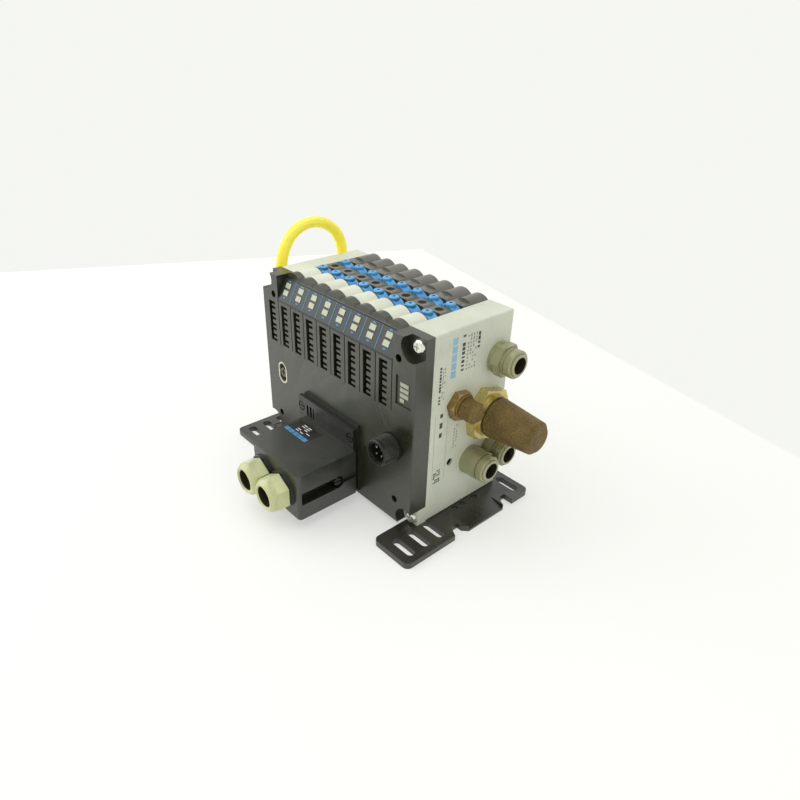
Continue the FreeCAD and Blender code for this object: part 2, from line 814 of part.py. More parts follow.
def make_plug():
    """Cable plug hood with one canted corner, two bosses for the glands and a deep channel in its side."""
    corners = [("-plug_left", "%s + plug_corner" % plug_front), ("plug_corner - plug_left", plug_front),
               ("plug_right", plug_front), ("plug_right", "-frame_thick"), ("-plug_left", "-frame_thick")]
    hood = place(pad("hood", "XY_Plane", corners, "plug_top - plug_foot"), 0, 0, "plug_foot")
    hood = softened(hood, "plug_round",
                    lambda e: runs(e, "z") and e.BoundBox.YMax < value(plug_front) + 0.1
                    and e.BoundBox.XMin > value("plug_right") - 0.1)
    bosses = [rod(x, "%s - boss_long" % plug_front, gland_z, "boss_radius", "boss_long + plug_corner", "y")
              for x in gland_x]
    channel = block("plug_right - channel_deep", "%s + channel_post" % plug_front, "plug_foot + channel_foot",
                    "channel_deep + 1", "channel_long", "channel_tall")
    seat = rod("plug_right - channel_deep", "%s + side_screw_in" % plug_front, channel_z, "channel_tall / 2",
               "channel_deep + 1", "x")
    rail = block("plug_right - rail_deep", "%s + side_screw_in" % plug_front,
                 "%s - rail_tall / 2" % channel_z, "rail_deep + 1", "plug_long", "rail_tall")
    outlets = [rod(x, "%s - boss_long - 1" % plug_front, gland_z, "gland_bore + seal_play",
                   "outlet_deep", "y") for x in gland_x]
    node("plug_housing", cut(fuse(hood, *bosses), channel, seat, rail, *outlets))


def make_glands():
    """Cable glands: a dark sealing ring and a nut whose six flats run out into a dome round its bore."""
    rings = []
    nuts = []
    front = "(%s - boss_long)" % plug_front
    grip = "(-seal_thick - gland_grip)"
    mouth = "(-seal_thick - gland_long)"
    for x in gland_x:
        rings.append(cut(rod(x, "%s - seal_thick" % front, gland_z, "seal_radius", "seal_thick", "y"),
                         rod(x, "%s - seal_thick - 1" % front, gland_z, "gland_bore + seal_play",
                             "seal_thick + 2", "y")))
        body = turned("dome", [("-seal_thick", "gland_bore"), ("-seal_thick", "gland_flats / sqrt(3)"),
                               (grip, "gland_flats / sqrt(3)", "gland_dome"),
                               (mouth, "gland_bore + gland_rim"),
                               (mouth, "gland_bore + gland_rim / 2"),
                               ("%s + gland_rim / 2" % mouth, "gland_bore")])
        place(body, x, front, gland_z, ((0, 0, 1), 90))
        bar = hexagon(x, "%s - seal_thick - gland_long - 1" % front, gland_z, "gland_flats",
                      "gland_long + 2", "y", flat_up)
        nuts.append(common(body, bar))
    node("gland_seals", group(*rings))
    node("gland_nuts", group(*nuts))


def make_plug_screws():
    """Slotted screws of the socket frame, and the clamp screw at the end of the plug's channel."""
    screws = []
    for x in frame_screw_x:
        head = rod(x, "-frame_thick + 0.1", frame_screw_z, "frame_screw_head",
                   "frame_screw_tall", "y")
        slot = block("%s - frame_screw_head - 1" % x, "-frame_thick - 0.9",
                     "%s - driver_slot / 2" % frame_screw_z, "2 * frame_screw_head + 2", "slot_deep + 1",
                     "driver_slot")
        screws.append(cut(head, slot))
    head = rod("plug_right - channel_deep", "%s + side_screw_in" % plug_front, channel_z, "side_head",
               "channel_deep - 1", "x")
    slot = block("plug_right - 1 - slot_deep", "%s + side_screw_in - side_head - 1" % plug_front,
                 "%s - driver_slot / 2" % channel_z, "slot_deep + 1", "2 * side_head + 2", "driver_slot")
    screws.append(cut(head, slot))
    node("plug_screws", group(*screws))


push_fittings = (("upper_y", "upper_z", "upper_long"), ("front_y", "front_z", "front_long"),
                 ("rear_y", "rear_z", "rear_long"))
bore = "(tube_large + tube_play)"
collar_outer = "(%s + collar_wall)" % bore


def push_profile(foot, body, ring, long):
    """Half section of one push-in fitting: stub, foot, body, groove, end ring and the stepped bore."""
    groove = "(%s - ring_long)" % long
    seat = "(%s - collar_long + collar_proud - collar_travel - 0.2)" % long
    narrow = "(tube_large - 1.5)"
    wide = "(%s + collar_play)" % collar_outer
    return [("-stub_long", narrow), ("tube_stop", narrow), ("tube_stop", bore), (seat, bore), (seat, wide),
            (long, wide), (long, "%s - ring_groove" % ring), ("%s - ring_groove" % long, ring),
            (groove, ring), (groove, "%s - ring_groove" % ring),
            ("%s - ring_groove" % groove, "%s - ring_groove" % ring),
            ("%s - ring_groove" % groove, body), ("flange_thick", body), ("flange_thick", foot), (0, foot),
            (0, "push_stub"), ("-stub_long", "push_stub")]


def hexagon_ring(y, z, flats, length, inner):
    """The six flats of a fitting, just past its flange, bored out to sit round its body."""
    return cut(hexagon("%s + flange_thick - 0.1" % right, y, z, flats, length, "x", flat_up),
               rod("%s + flange_thick - 1" % right, y, z, "%s - 0.3" % inner, "%s + 2" % length, "x"))


def make_push_in():
    """Three straight push-in fittings: flanged hexagon, plain barrel and a slim one with ribs."""
    upper = place(turned("upper", push_profile("flange_radius", "upper_body", "upper_ring", "upper_long")),
                  right, "upper_y", "upper_z")
    upper = fuse(upper, hexagon_ring("upper_y", "upper_z", "upper_flats", "upper_hex", "upper_body"))
    front = place(turned("front", push_profile("front_foot", "front_body", "front_ring", "front_long")),
                  right, "front_y", "front_z")
    rear = place(turned("rear", push_profile("rear_body", "rear_body - rib_rise", "rear_ring", "rear_long")),
                 right, "rear_y", "rear_z")
    ribs = []
    for k in range(2):
        at = "%s + flange_thick + rear_hex + rib_step * %s" % (right, 0.5 + k)
        ribs.append(cut(rod(at, "rear_y", "rear_z", "rear_body", "rib_step / 2", "x"),
                        rod("%s - 1" % at, "rear_y", "rear_z", "rear_body - rib_rise - 0.3",
                            "rib_step + 2", "x")))
    nut = hexagon_ring("rear_y", "rear_z", "rear_flats", "rear_hex", "rear_body - rib_rise")
    rear = fuse(rear, nut, *ribs)
    node("push_in_bodies", group(upper, front, rear))
    for k, (y, z, long) in enumerate(push_fittings):
        tip = "(%s + collar_proud)" % long
        foot = "(%s - collar_long)" % tip
        collar = turned("collar", [(foot, bore), (tip, bore), (tip, "%s - 0.4" % collar_outer),
                                   ("%s - 0.4" % tip, collar_outer), (foot, collar_outer)])
        place(collar, right, y, z)
        node("release_collar_right_%d" % (k + 1), lifted(collar))


def chamfered(y, z, flats, length, spin):
    """A hexagon on the right plate whose outer corners are turned off."""
    corner = "(%s / sqrt(3))" % flats
    blank = turned("blank", [(0, 0), (length, 0), (length, "%s / 2" % flats), ("%s - 1.2" % length, corner),
                             (0, corner)])
    return common(hexagon(right, y, z, flats, length, "x", spin), place(blank, right, y, z))


def make_silencers():
    """Sintered silencers: tapered bodies with a rounded nose, held in brass hexagons with a turned collar."""
    seat = "(silencer_hex + silencer_collar_long)"
    tip = "silencer_long"
    large = turned("large", [("-stub_long", 0), ("-stub_long", "silencer_stub"), (seat, "silencer_stub"),
                             (seat, "silencer_groove"), ("%s + 1" % seat, "silencer_groove"),
                             ("%s + 1" % seat, "silencer_base"),
                             ("%s - silencer_nose" % tip, "silencer_tip", "silencer_nose"),
                             (tip, "silencer_tip - silencer_nose"), (tip, 0)])
    node("silencer_large", lifted(place(large, right, "silencer_y", "silencer_z")))
    small_seat = "(pilot_hex + 1.5)"
    small = turned("small", [("-stub_long", 0), ("-stub_long", "pilot_stub"), (small_seat, "pilot_stub"),
                             (small_seat, "pilot_radius"), ("pilot_long - pilot_nose", "pilot_radius"),
                             ("pilot_long", "pilot_radius - pilot_nose"), ("pilot_long", 0)])
    node("silencer_small", lifted(place(small, right, "pilot_y", "pilot_z")))
    nuts = []
    for name, reach, spin in (("silencer", seat, 13), ("pilot", small_seat, 20)):
        y, z = name + "_y", name + "_z"
        body = fuse(chamfered(y, z, name + "_flats", name + "_hex", spin),
                    rod(right, y, z, name + "_collar", "%s - nut_gap" % reach, "x"))
        nuts.append(cut(body, rod("%s - 1" % right, y, z, "%s_stub + nut_gap" % name, "%s + 2" % reach, "x")))
    node("silencer_nut", group(*nuts))


small_bore = "(tube_small + tube_play)"
small_outer = "(%s + collar_wall)" % small_bore
elbow_x = "(%s - elbow_out)" % left
elbow_seat = "(elbow_tall - collar_long + collar_proud - collar_travel - 0.2)"


def make_elbows():
    """Elbow push-in fittings on the left: a hexagon stub into the plate and an upright barrel."""
    bodies = []
    for y in ("elbow_front_y", "elbow_rear_y"):
        barrel = rod(elbow_x, y, "elbow_z - elbow_body", "elbow_body", "elbow_tall + elbow_body")
        arm = rod(elbow_x, y, "elbow_z", "elbow_stub + 1", "elbow_out", "x")
        stub = rod(left, y, "elbow_z", "elbow_stub", "stub_long", "x")
        nut = hexagon("%s - elbow_hex" % left, y, "elbow_z", "elbow_flats", "elbow_hex", "x")
        seat = rod(elbow_x, y, "elbow_z + %s" % elbow_seat, "%s + 0.08" % small_outer, "collar_long + 2")
        throat = rod(elbow_x, y, "elbow_z + elbow_tall - tube_in", small_bore, "tube_in + 1")
        bodies.append(cut(fuse(barrel, arm, stub, nut), seat, throat))
    node("elbow_bodies", group(*bodies))
    for k, y in enumerate(("elbow_front_y", "elbow_rear_y")):
        foot = "elbow_z + elbow_tall + collar_proud - collar_long"
        ring = softened(rod(elbow_x, y, foot, small_outer, "collar_long"), "0.4",
                        lambda e: e.BoundBox.ZMin > value(foot) + 1)
        throat = rod(elbow_x, y, foot + " - 1", small_bore, "collar_long + 2")
        node("release_collar_left_%d" % (k + 1), cut(ring, throat))


def tube_points():
    """Corners of the free tube's route: up out of one elbow, round the loop and down into the other."""
    x = value(elbow_x)
    front, rear = value("elbow_front_y"), value("elbow_rear_y")
    top = value("elbow_z + elbow_tall")
    radius, middle, height = value("loop_radius"), value("loop_y"), value("loop_z")
    start, rise, inward = value("leg_start"), value("leg_rise"), value("leg_in")
    points = [Vector(x, front, top - value("tube_in")), Vector(x, front, top + start),
              Vector(x, middle - radius + inward, top + rise)]
    for step in range(5):
        angle = math.radians(162 - 36 * step)
        reach = radius / math.cos(math.radians(18))
        lean = value("loop_lean") * math.sin(angle)
        points.append(Vector(x - lean, middle + reach * math.cos(angle), height + reach * math.sin(angle)))
    points += [Vector(x, middle + radius - inward, top + rise), Vector(x, rear, top + start),
               Vector(x, rear, top - value("tube_in"))]
    return points


def tube_path(points):
    """Straight runs joined by tangent arcs, each as large as its two runs allow."""
    edges = []
    last = points[0]
    for k in range(1, len(points) - 1):
        before, spot, after = points[k - 1], points[k], points[k + 1]
        come = (spot - before).normalize()
        leave = (after - spot).normalize()
        turn = come.getAngle(leave)
        if turn < 0.002:
            continue
        shorter = min((spot - before).Length, (after - spot).Length)
        reach = 0.45 * shorter
        radius = reach / math.tan(turn / 2)
        print("tube point %d: turn %.1f degrees, radius %.1f mm" % (k, math.degrees(turn), radius))
        start = spot - come * reach
        end = spot + leave * reach
        inner = (leave - come).normalize()
        top = spot + inner * (radius / math.cos(turn / 2) - radius)
        edges.append(Part.LineSegment(last, start).toShape())
        edges.append(Part.Arc(start, top, end).toShape())
        last = end
    edges.append(Part.LineSegment(last, points[-1]).toShape())
    return Part.Wire(edges)


def make_tube():
    """The free air tube between the two elbows, plain and solid."""
    points = tube_points()
    shift = Vector(value(bank_x), value(face_y), value(floor_z))
    for point in points:
        print("tube corner %.2f %.2f %.2f" % tuple(point + shift))
    path = tube_path(points)
    ring = Part.Wire([Part.Circle(points[0], Vector(0, 0, 1), value("tube_small")).toShape()])
    solid = path.makePipeShell([ring], True, False)
    ideal = math.pi * value("tube_small") ** 2 * path.Length
    print("tube length %.1f mm, volume %.1f against %.1f" % (path.Length, solid.Volume, ideal))
    tube = doc.addObject("Part::Feature", "tube")
    tube.Shape = solid
    node("supply_tube", tube)


def make_brackets():
    """Foot brackets: a plate with notches, crosswise slots at its feet and three holes in its rib."""
    for name, sign in (("bracket_right", 1), ("bracket_left", -1)):
        face = right if sign > 0 else left
        side = "+" if sign > 0 else "-"
        outer = "(%s %s bracket_out)" % (face, side)
        inner = "(%s %s -bracket_in)" % (face, side)
        front = "(-slot_lead - bracket_lead)"
        rear = "(rows_apart - slot_lead + bracket_tail)"
        deep = "(%s %s -notch_deep)" % (outer, side)
        corners = [(inner, front), (outer, front), (outer, "notch_front"),
                   (deep, "notch_front + notch_deep / 2"), (deep, "notch_front + notch_wide"),
                   ("%s %s -notch_deep / 2" % (outer, side), "notch_front + notch_wide"),
                   (outer, "notch_front + notch_wide + notch_deep / 2"), (outer, "notch_rear"),
                   (deep, "notch_rear + notch_deep / 2"), (deep, "notch_rear + notch_wide"),
                   (outer, "notch_rear + notch_wide"), (outer, rear), (inner, rear)]
        plate = pad("plate", "XY_Plane", corners, "bracket_thick", True)
        plate = softened(plate, "bracket_round",
                         lambda e: runs(e, "z") and (abs(e.BoundBox.YMin - value(front)) < 0.01
                                                     or abs(e.BoundBox.YMin - value(rear)) < 0.01))
        tools = []
        middle = "(%s %s slot_out)" % (face, side)
        reach = "(slot_long - slot_wide) / 2"
        for y in ("-slot_lead", "slot_pitch - slot_lead", "2 * slot_pitch - slot_lead",
                  "rows_apart - slot_lead"):
            tools.append(block("%s - %s" % (middle, reach), "%s - slot_wide / 2" % y, "-bracket_thick - 1",
                               "2 * %s" % reach, "slot_wide", "bracket_thick + 2"))
            for end in "+-":
                tools.append(rod("%s %s %s" % (middle, end, reach), y, "-bracket_thick - 1", "slot_wide / 2",
                                 "bracket_thick + 2"))
        wedge = pad("wedge", "XZ_Plane",
                    [("%s %s -bevel_wide" % (outer, side), 0), ("%s %s 1" % (outer, side), 1),
                     ("%s %s 1" % (outer, side), "-bevel_deep")],
                    "notch_rear - notch_front - notch_wide - notch_deep / 2", True)
        tools.append(place(wedge, 0, "notch_front + notch_wide + notch_deep / 2", 0))
        for y in ("rib_hole_first", "rib_hole_second", "rib_hole_third"):
            tools.append(rod("%s %s rib_hole_out" % (face, side), y, "-bracket_thick - 1", "rib_hole",
                             "bracket_thick + 2"))
        node(name, cut(plate, *tools))


make_right_plate()
make_left_plate()
make_slices()
make_housings()
make_buttons()
make_housing_screws()
make_cover()
make_cover_screws()
make_earth_screw()
make_strip()
make_lenses()
make_power_plug()
make_frame()
make_plug()
make_plug_screws()
make_glands()
make_push_in()
make_silencers()
make_elbows()
make_tube()
make_brackets()
doc.recompute()

faults = [o.Name for o in doc.Objects if "Invalid" in o.State or "Error" in o.State]
for obj in nodes:
    if obj.Shape.isNull() or not obj.Shape.isValid():
        faults.append(obj.Label)
if faults:
    raise RuntimeError("these did not build: " + ", ".join(faults))
for obj in nodes:
    obj.Shape.exportStep("parts/%s.step" % obj.Label)
print("%d sub-parts written" % len(nodes))
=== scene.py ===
import bpy
import math
from mathutils import Matrix, Vector


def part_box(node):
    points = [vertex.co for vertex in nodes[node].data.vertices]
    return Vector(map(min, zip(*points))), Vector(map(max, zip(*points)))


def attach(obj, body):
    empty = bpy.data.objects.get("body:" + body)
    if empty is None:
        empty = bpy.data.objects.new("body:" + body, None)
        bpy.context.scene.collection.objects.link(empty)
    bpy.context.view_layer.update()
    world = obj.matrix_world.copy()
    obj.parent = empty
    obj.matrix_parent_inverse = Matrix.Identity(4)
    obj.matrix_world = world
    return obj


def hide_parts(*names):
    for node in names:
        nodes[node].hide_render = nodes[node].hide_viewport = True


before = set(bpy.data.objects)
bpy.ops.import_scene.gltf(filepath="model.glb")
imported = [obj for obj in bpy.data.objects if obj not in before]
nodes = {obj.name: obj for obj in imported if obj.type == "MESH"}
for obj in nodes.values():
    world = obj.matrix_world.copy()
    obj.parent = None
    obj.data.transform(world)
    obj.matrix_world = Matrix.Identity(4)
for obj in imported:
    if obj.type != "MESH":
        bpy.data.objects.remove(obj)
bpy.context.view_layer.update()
scene = bpy.context.scene
scene.view_settings.view_transform = "Standard"

# the island's bank of slices; sizes are in millimetres of the model, except where a note says metres
mm = 0.001
bank = {"slices": 8, "pitch": 14.0, "left": -58.25}
firstMiddle = bank["left"] + bank["pitch"] / 2


def metres(*values):
    return tuple(v * mm for v in values)


# finishes: every colour is linear, every pattern reads Object coordinates

def newMaterial(name):
    material = bpy.data.materials.new(name)
    material.use_nodes = True
    tree = material.node_tree
    return material, tree, tree.nodes["Principled BSDF"]


def maths(tree, operation, *values):
    node = tree.nodes.new("ShaderNodeMath")
    node.operation = operation
    for socket, value in zip(node.inputs, values):
        if isinstance(value, bpy.types.NodeSocket):
            tree.links.new(value, socket)
        else:
            socket.default_value = value
    return node.outputs["Value"]


def objectNoise(tree, scale, detail=3.0, rough=0.5, stretch=None):
    where = tree.nodes.new("ShaderNodeTexCoord")
    noise = tree.nodes.new("ShaderNodeTexNoise")
    noise.inputs["Scale"].default_value = scale
    noise.inputs["Detail"].default_value = detail
    noise.inputs["Roughness"].default_value = rough
    source = where.outputs["Object"]
    if stretch:
        mapping = tree.nodes.new("ShaderNodeMapping")
        mapping.inputs["Scale"].default_value = stretch
        tree.links.new(source, mapping.inputs["Vector"])
        source = mapping.outputs["Vector"]
    tree.links.new(source, noise.inputs["Vector"])
    return noise.outputs["Fac"]


def ramp(tree, source, stops):
    node = tree.nodes.new("ShaderNodeValToRGB")
    ends = node.color_ramp.elements
    ends[0].position, ends[0].color = stops[0][0], (*stops[0][1], 1)
    ends[1].position, ends[1].color = stops[-1][0], (*stops[-1][1], 1)
    for place, colour in stops[1:-1]:
        ends.new(place).color = (*colour, 1)
    tree.links.new(source, node.inputs["Fac"])
    return node.outputs["Color"]


def spread(tree, source, low, high, start=0.3, end=0.7):
    span = tree.nodes.new("ShaderNodeMapRange")
    for label, value in (("From Min", start), ("From Max", end), ("To Min", low), ("To Max", high)):
        span.inputs[label].default_value = value
    tree.links.new(source, span.inputs["Value"])
    return span.outputs["Result"]


def mixed(tree, share, first, second, blend="MIX"):
    mix = tree.nodes.new("ShaderNodeMix")
    mix.data_type = "RGBA"
    mix.blend_type = blend
    for label, value in (("Factor", share), ("A", first), ("B", second)):
        socket = [s for s in mix.inputs if s.name == label and s.enabled][0]
        if isinstance(value, bpy.types.NodeSocket):
            tree.links.new(value, socket)
        elif label == "Factor":
            socket.default_value = value
        else:
            socket.default_value = (*value, 1)
    return [s for s in mix.outputs if s.enabled][0]


def bumpFrom(tree, shader, source, strength, distance):
    # the distance is in metres
    bump = tree.nodes.new("ShaderNodeBump")
    bump.inputs["Strength"].default_value = strength
    bump.inputs["Distance"].default_value = distance
    tree.links.new(source, bump.inputs["Height"])
    tree.links.new(bump.outputs["Normal"], shader.inputs["Normal"])
    return bump


def rubbedEdges(tree, base, pale, amount):
    # paler where the surface turns sharply, broken up by a coarse noise
    turn = tree.nodes.new("ShaderNodeNewGeometry")
    edge = spread(tree, turn.outputs["Pointiness"], 0.0, amount, 0.52, 0.62)
    gaps = spread(tree, objectNoise(tree, 160, 4, 0.6), 0.2, 1.0)
    return mixed(tree, maths(tree, "MULTIPLY", edge, gaps), base, pale)


def objectAxes(tree):
    where = tree.nodes.new("ShaderNodeTexCoord")
    parts = tree.nodes.new("ShaderNodeSeparateXYZ")
    tree.links.new(where.outputs["Object"], parts.inputs["Vector"])
    return {axis: parts.outputs[axis] for axis in "XYZ"}


def awayFrom(tree, first, second, place):
    # distance in metres between two coordinates and a place given in millimetres
    sides = [maths(tree, "SUBTRACT", value, at * mm) for value, at in zip((first, second), place)]
    squares = [maths(tree, "MULTIPLY", side, side) for side in sides]
    return maths(tree, "SQRT", maths(tree, "ADD", *squares))


def insideBores(tree, bores, along):
    # 1 inside any of the round holes, each a place on the plane across them and a radius in millimetres
    axes = objectAxes(tree)
    plane = (axes["Y"], axes["Z"]) if along == "X" else (axes["X"], axes["Z"])
    mask = 0.0
    for first, second, radius in bores:
        away = awayFrom(tree, *plane, (first, second))
        inside = spread(tree, away, 1.0, 0.0, radius * mm, (radius + 0.2) * mm)
        mask = maths(tree, "MAXIMUM", mask, inside)
    return mask


def mouldedPlastic(name, dark, light, rough=0.5, grain=2600, bump=0.25, gloss=0.4, rub=0.25, dust=0.0,
                   bores=(), along="X"):
    material, tree, shader = newMaterial(name)
    patches = objectNoise(tree, 34, 4, 0.6)
    colour = ramp(tree, patches, [(0.32, dark), (0.7, light)])
    if dust:
        specks = ramp(tree, objectNoise(tree, 900, 2, 0.5), [(0.66, (0, 0, 0)), (0.74, (dust,) * 3)])
        colour = mixed(tree, 1.0, colour, specks, "ADD")
    pale = tuple(min(1.0, v * 1.5 + 0.03) for v in light)
    colour = rubbedEdges(tree, colour, pale, rub)
    if bores:
        # painted shade: the plastic is dark inside the round holes
        colour = mixed(tree, insideBores(tree, bores, along), colour, (0.035, 0.03, 0.018))
    tree.links.new(colour, shader.inputs["Base Color"])
    tree.links.new(spread(tree, patches, rough - 0.06, rough + 0.08), shader.inputs["Roughness"])
    shader.inputs["Specular IOR Level"].default_value = gloss
    bumpFrom(tree, shader, objectNoise(tree, grain, 2), bump, 0.08 * mm)
    return material


def paintedCasting(name, dark, light, rough, bores=(), below=0.0, gapShade=None):
    material, tree, shader = newMaterial(name)
    patches = objectNoise(tree, 26, 5, 0.65)
    base = ramp(tree, patches, [(0.3, dark), (0.68, light)])
    grime = spread(tree, objectNoise(tree, 75, 6, 0.7), 0.0, 0.35, 0.56, 0.78)
    stained = mixed(tree, grime, base, tuple(v * 0.72 for v in dark))
    scratch = spread(tree, objectNoise(tree, 120, 2, 0.4, (1, 14, 1.5)), 0.0, 0.3, 0.68, 0.74)
    colour = mixed(tree, scratch, stained, (0.86, 0.87, 0.84))
    if bores:
        # painted shade: dark only where the holes go deeper than a plane across X
        deep = spread(tree, objectAxes(tree)["X"], 1.0, 0.0, (below - 0.3) * mm, below * mm)
        holeShade = maths(tree, "MULTIPLY", insideBores(tree, bores, "X"), deep)
        colour = mixed(tree, holeShade, colour, (0.03, 0.03, 0.026))
    if gapShade:
        # painted shade of the gap between the valve body and the pilot housing: a dark line across Y, given
        # by its place and half its width
        place, half = gapShade
        away = maths(tree, "ABSOLUTE", maths(tree, "SUBTRACT", objectAxes(tree)["Y"], place * mm))
        line = spread(tree, away, 1.0, 0.0, half * mm, (half + 0.1) * mm)
        colour = mixed(tree, line, colour, (0.03, 0.035, 0.033))
    tree.links.new(colour, shader.inputs["Base Color"])
    tree.links.new(spread(tree, patches, rough - 0.07, rough + 0.1), shader.inputs["Roughness"])
    bumpFrom(tree, shader, objectNoise(tree, 1700, 3), 0.35, 0.12 * mm)
    return material


def turnedMetal(name, dark, light, rough, metal=1.0, lines=0.15, stain=None, darkerInFront=None):
    material, tree, shader = newMaterial(name)
    marks = objectNoise(tree, 420, 4, 0.7, (9, 1, 1))
    colour = ramp(tree, marks, [(0.3, dark), (0.7, light)])
    if stain:
        spots = spread(tree, objectNoise(tree, 130, 5, 0.7), 0.0, 0.75, 0.45, 0.7)
        colour = mixed(tree, spots, colour, stain)
    if darkerInFront:
        # the nut in front of this depth is painted darker and browner
        near = spread(tree, objectAxes(tree)["Y"], 1.0, 0.0, darkerInFront * mm, (darkerInFront + 0.5) * mm)
        colour = mixed(tree, near, colour, mixed(tree, 1.0, colour, (0.55, 0.46, 0.44), "MULTIPLY"))
    tree.links.new(colour, shader.inputs["Base Color"])
    dull = spread(tree, objectNoise(tree, 90, 3), rough - 0.06, rough + 0.12)
    tree.links.new(dull, shader.inputs["Roughness"])
    shader.inputs["Metallic"].default_value = metal
    bumpFrom(tree, shader, marks, lines, 0.05 * mm)
    return material


def sinteredBronze(name, stops):
    material, tree, shader = newMaterial(name)
    where = tree.nodes.new("ShaderNodeTexCoord")
    balls = tree.nodes.new("ShaderNodeTexVoronoi")
    balls.inputs["Scale"].default_value = 1700
    tree.links.new(where.outputs["Object"], balls.inputs["Vector"])
    base = ramp(tree, objectNoise(tree, 60, 5, 0.65), stops)
    grain = ramp(tree, balls.outputs["Distance"],
                 [(0.0, (1.35, 1.28, 1.15)), (0.55, (0.52, 0.49, 0.45))])
    grained = mixed(tree, 1.0, base, grain, "MULTIPLY")
    bright = spread(tree, objectNoise(tree, 1100, 2), 0.0, 0.4, 0.62, 0.74)
    tree.links.new(mixed(tree, bright, grained, (0.42, 0.33, 0.14)), shader.inputs["Base Color"])
    shader.inputs["Metallic"].default_value = 0.3
    shader.inputs["Roughness"].default_value = 0.6
    bumpFrom(tree, shader, balls.outputs["Distance"], 0.9, 0.3 * mm).invert = True
    return material


def clearTube(name, deep, pale):
    material, tree, shader = newMaterial(name)
    colour = ramp(tree, objectNoise(tree, 45, 3), [(0.3, deep), (0.7, pale)])
    tree.links.new(colour, shader.inputs["Base Color"])
    tree.links.new(spread(tree, objectNoise(tree, 200, 3), 0.16, 0.3), shader.inputs["Roughness"])
    # a faint painted glow: the tube gives off a little yellow light of its own
    shader.inputs["Emission Color"].default_value = (1.0, 0.8, 0.03, 1)
    shader.inputs["Emission Strength"].default_value = 0.12
    shader.inputs["Subsurface Weight"].default_value = 0.8
    shader.inputs["Subsurface Radius"].default_value = (0.006, 0.005, 0.0012)
    shader.inputs["Coat Weight"].default_value = 0.4
    shader.inputs["Coat Roughness"].default_value = 0.12
    bumpFrom(tree, shader, objectNoise(tree, 700, 2), 0.05, 0.05 * mm)
    return material


def lightWindows(name, window, bar, split):
    # the strip's windows lie above the height split, the status bars under it
    material, tree, shader = newMaterial(name)
    upper = spread(tree, objectAxes(tree)["Z"], 0.0, 1.0, (split - 1) * mm, (split + 1) * mm)
    cloud = ramp(tree, objectNoise(tree, 260, 3), [(0.3, (0.84,) * 3), (0.7, (1.0,) * 3)])
    colour = mixed(tree, 1.0, mixed(tree, upper, bar, window), cloud, "MULTIPLY")
    tree.links.new(colour, shader.inputs["Base Color"])
    tree.links.new(spread(tree, objectNoise(tree, 500, 2), 0.22, 0.38), shader.inputs["Roughness"])
    bumpFrom(tree, shader, objectNoise(tree, 900, 2), 0.05, 0.05 * mm)
    return material


def earthPlating(name, rim, cupShade, split):
    # pale at the cup's rim, which lies in front of the depth split, and painted dark behind it as shade
    # inside the cup
    material, tree, shader = newMaterial(name)
    deep = spread(tree, objectAxes(tree)["Y"], 0.0, 1.0, (split - 0.1) * mm, (split + 0.1) * mm)
    cloud = ramp(tree, objectNoise(tree, 700, 4, 0.6), [(0.3, (0.65,) * 3), (0.7, (1.0,) * 3)])
    colour = mixed(tree, 1.0, mixed(tree, deep, rim, cupShade), cloud, "MULTIPLY")
    tree.links.new(colour, shader.inputs["Base Color"])
    tree.links.new(spread(tree, objectNoise(tree, 300, 3), 0.28, 0.45), shader.inputs["Roughness"])
    shader.inputs["Metallic"].default_value = 0.25
    bumpFrom(tree, shader, objectNoise(tree, 900, 3), 0.1, 0.05 * mm)
    return material


def domedBlue(name, dark, light, domes):
    # painted shade: darker in each dome's eye, the small hole in the button, and round its foot, the crease
    # against the base; the domes repeat along X in two rows
    material, tree, shader = newMaterial(name)
    axes = objectAxes(tree)
    half = domes["pitch"] / 2
    alongRow = maths(tree, "WRAP", axes["X"], (domes["x"] + half) * mm, (domes["x"] - half) * mm)
    rows = [awayFrom(tree, alongRow, axes["Y"], (domes["x"], y)) for y in domes["rows"]]
    away = maths(tree, "MINIMUM", *rows)
    eye = spread(tree, away, 1.0, 0.0, domes["eye"] * mm, (domes["eye"] + 0.1) * mm)
    ring = maths(tree, "ABSOLUTE", maths(tree, "SUBTRACT", away, domes["foot"] * mm))
    foot = spread(tree, ring, 0.85, 0.0, 0.1 * mm, 0.5 * mm)
    patches = objectNoise(tree, 260, 3, 0.6)
    base = ramp(tree, patches, [(0.32, dark), (0.7, light)])
    # painted shade in the crease round each dome's foot, then in its eye
    colour = mixed(tree, foot, base, tuple(v * 0.4 for v in dark))
    tree.links.new(mixed(tree, eye, colour, tuple(v * 0.15 for v in dark)), shader.inputs["Base Color"])
    tree.links.new(spread(tree, patches, 0.14, 0.28), shader.inputs["Roughness"])
    shader.inputs["Specular IOR Level"].default_value = 0.7
    bumpFrom(tree, shader, objectNoise(tree, 900, 2), 0.08, 0.08 * mm)
    return material


# finishes of this island's pieces

# places of the round holes on the plane across them, each with the radius inside which the hole is painted
# dark as shade
tubeBoreShade = [(32.0, 100.5, 5.2), (15.0, 35.0, 5.2), (33.6, 37.5, 5.2)]
cableBoreShade = [(-10.45, 23.5, 6.6), (10.95, 23.5, 6.6)]
ventShade = {"bores": [(-3.4, 40.4, 2.6)], "below": 71.6}
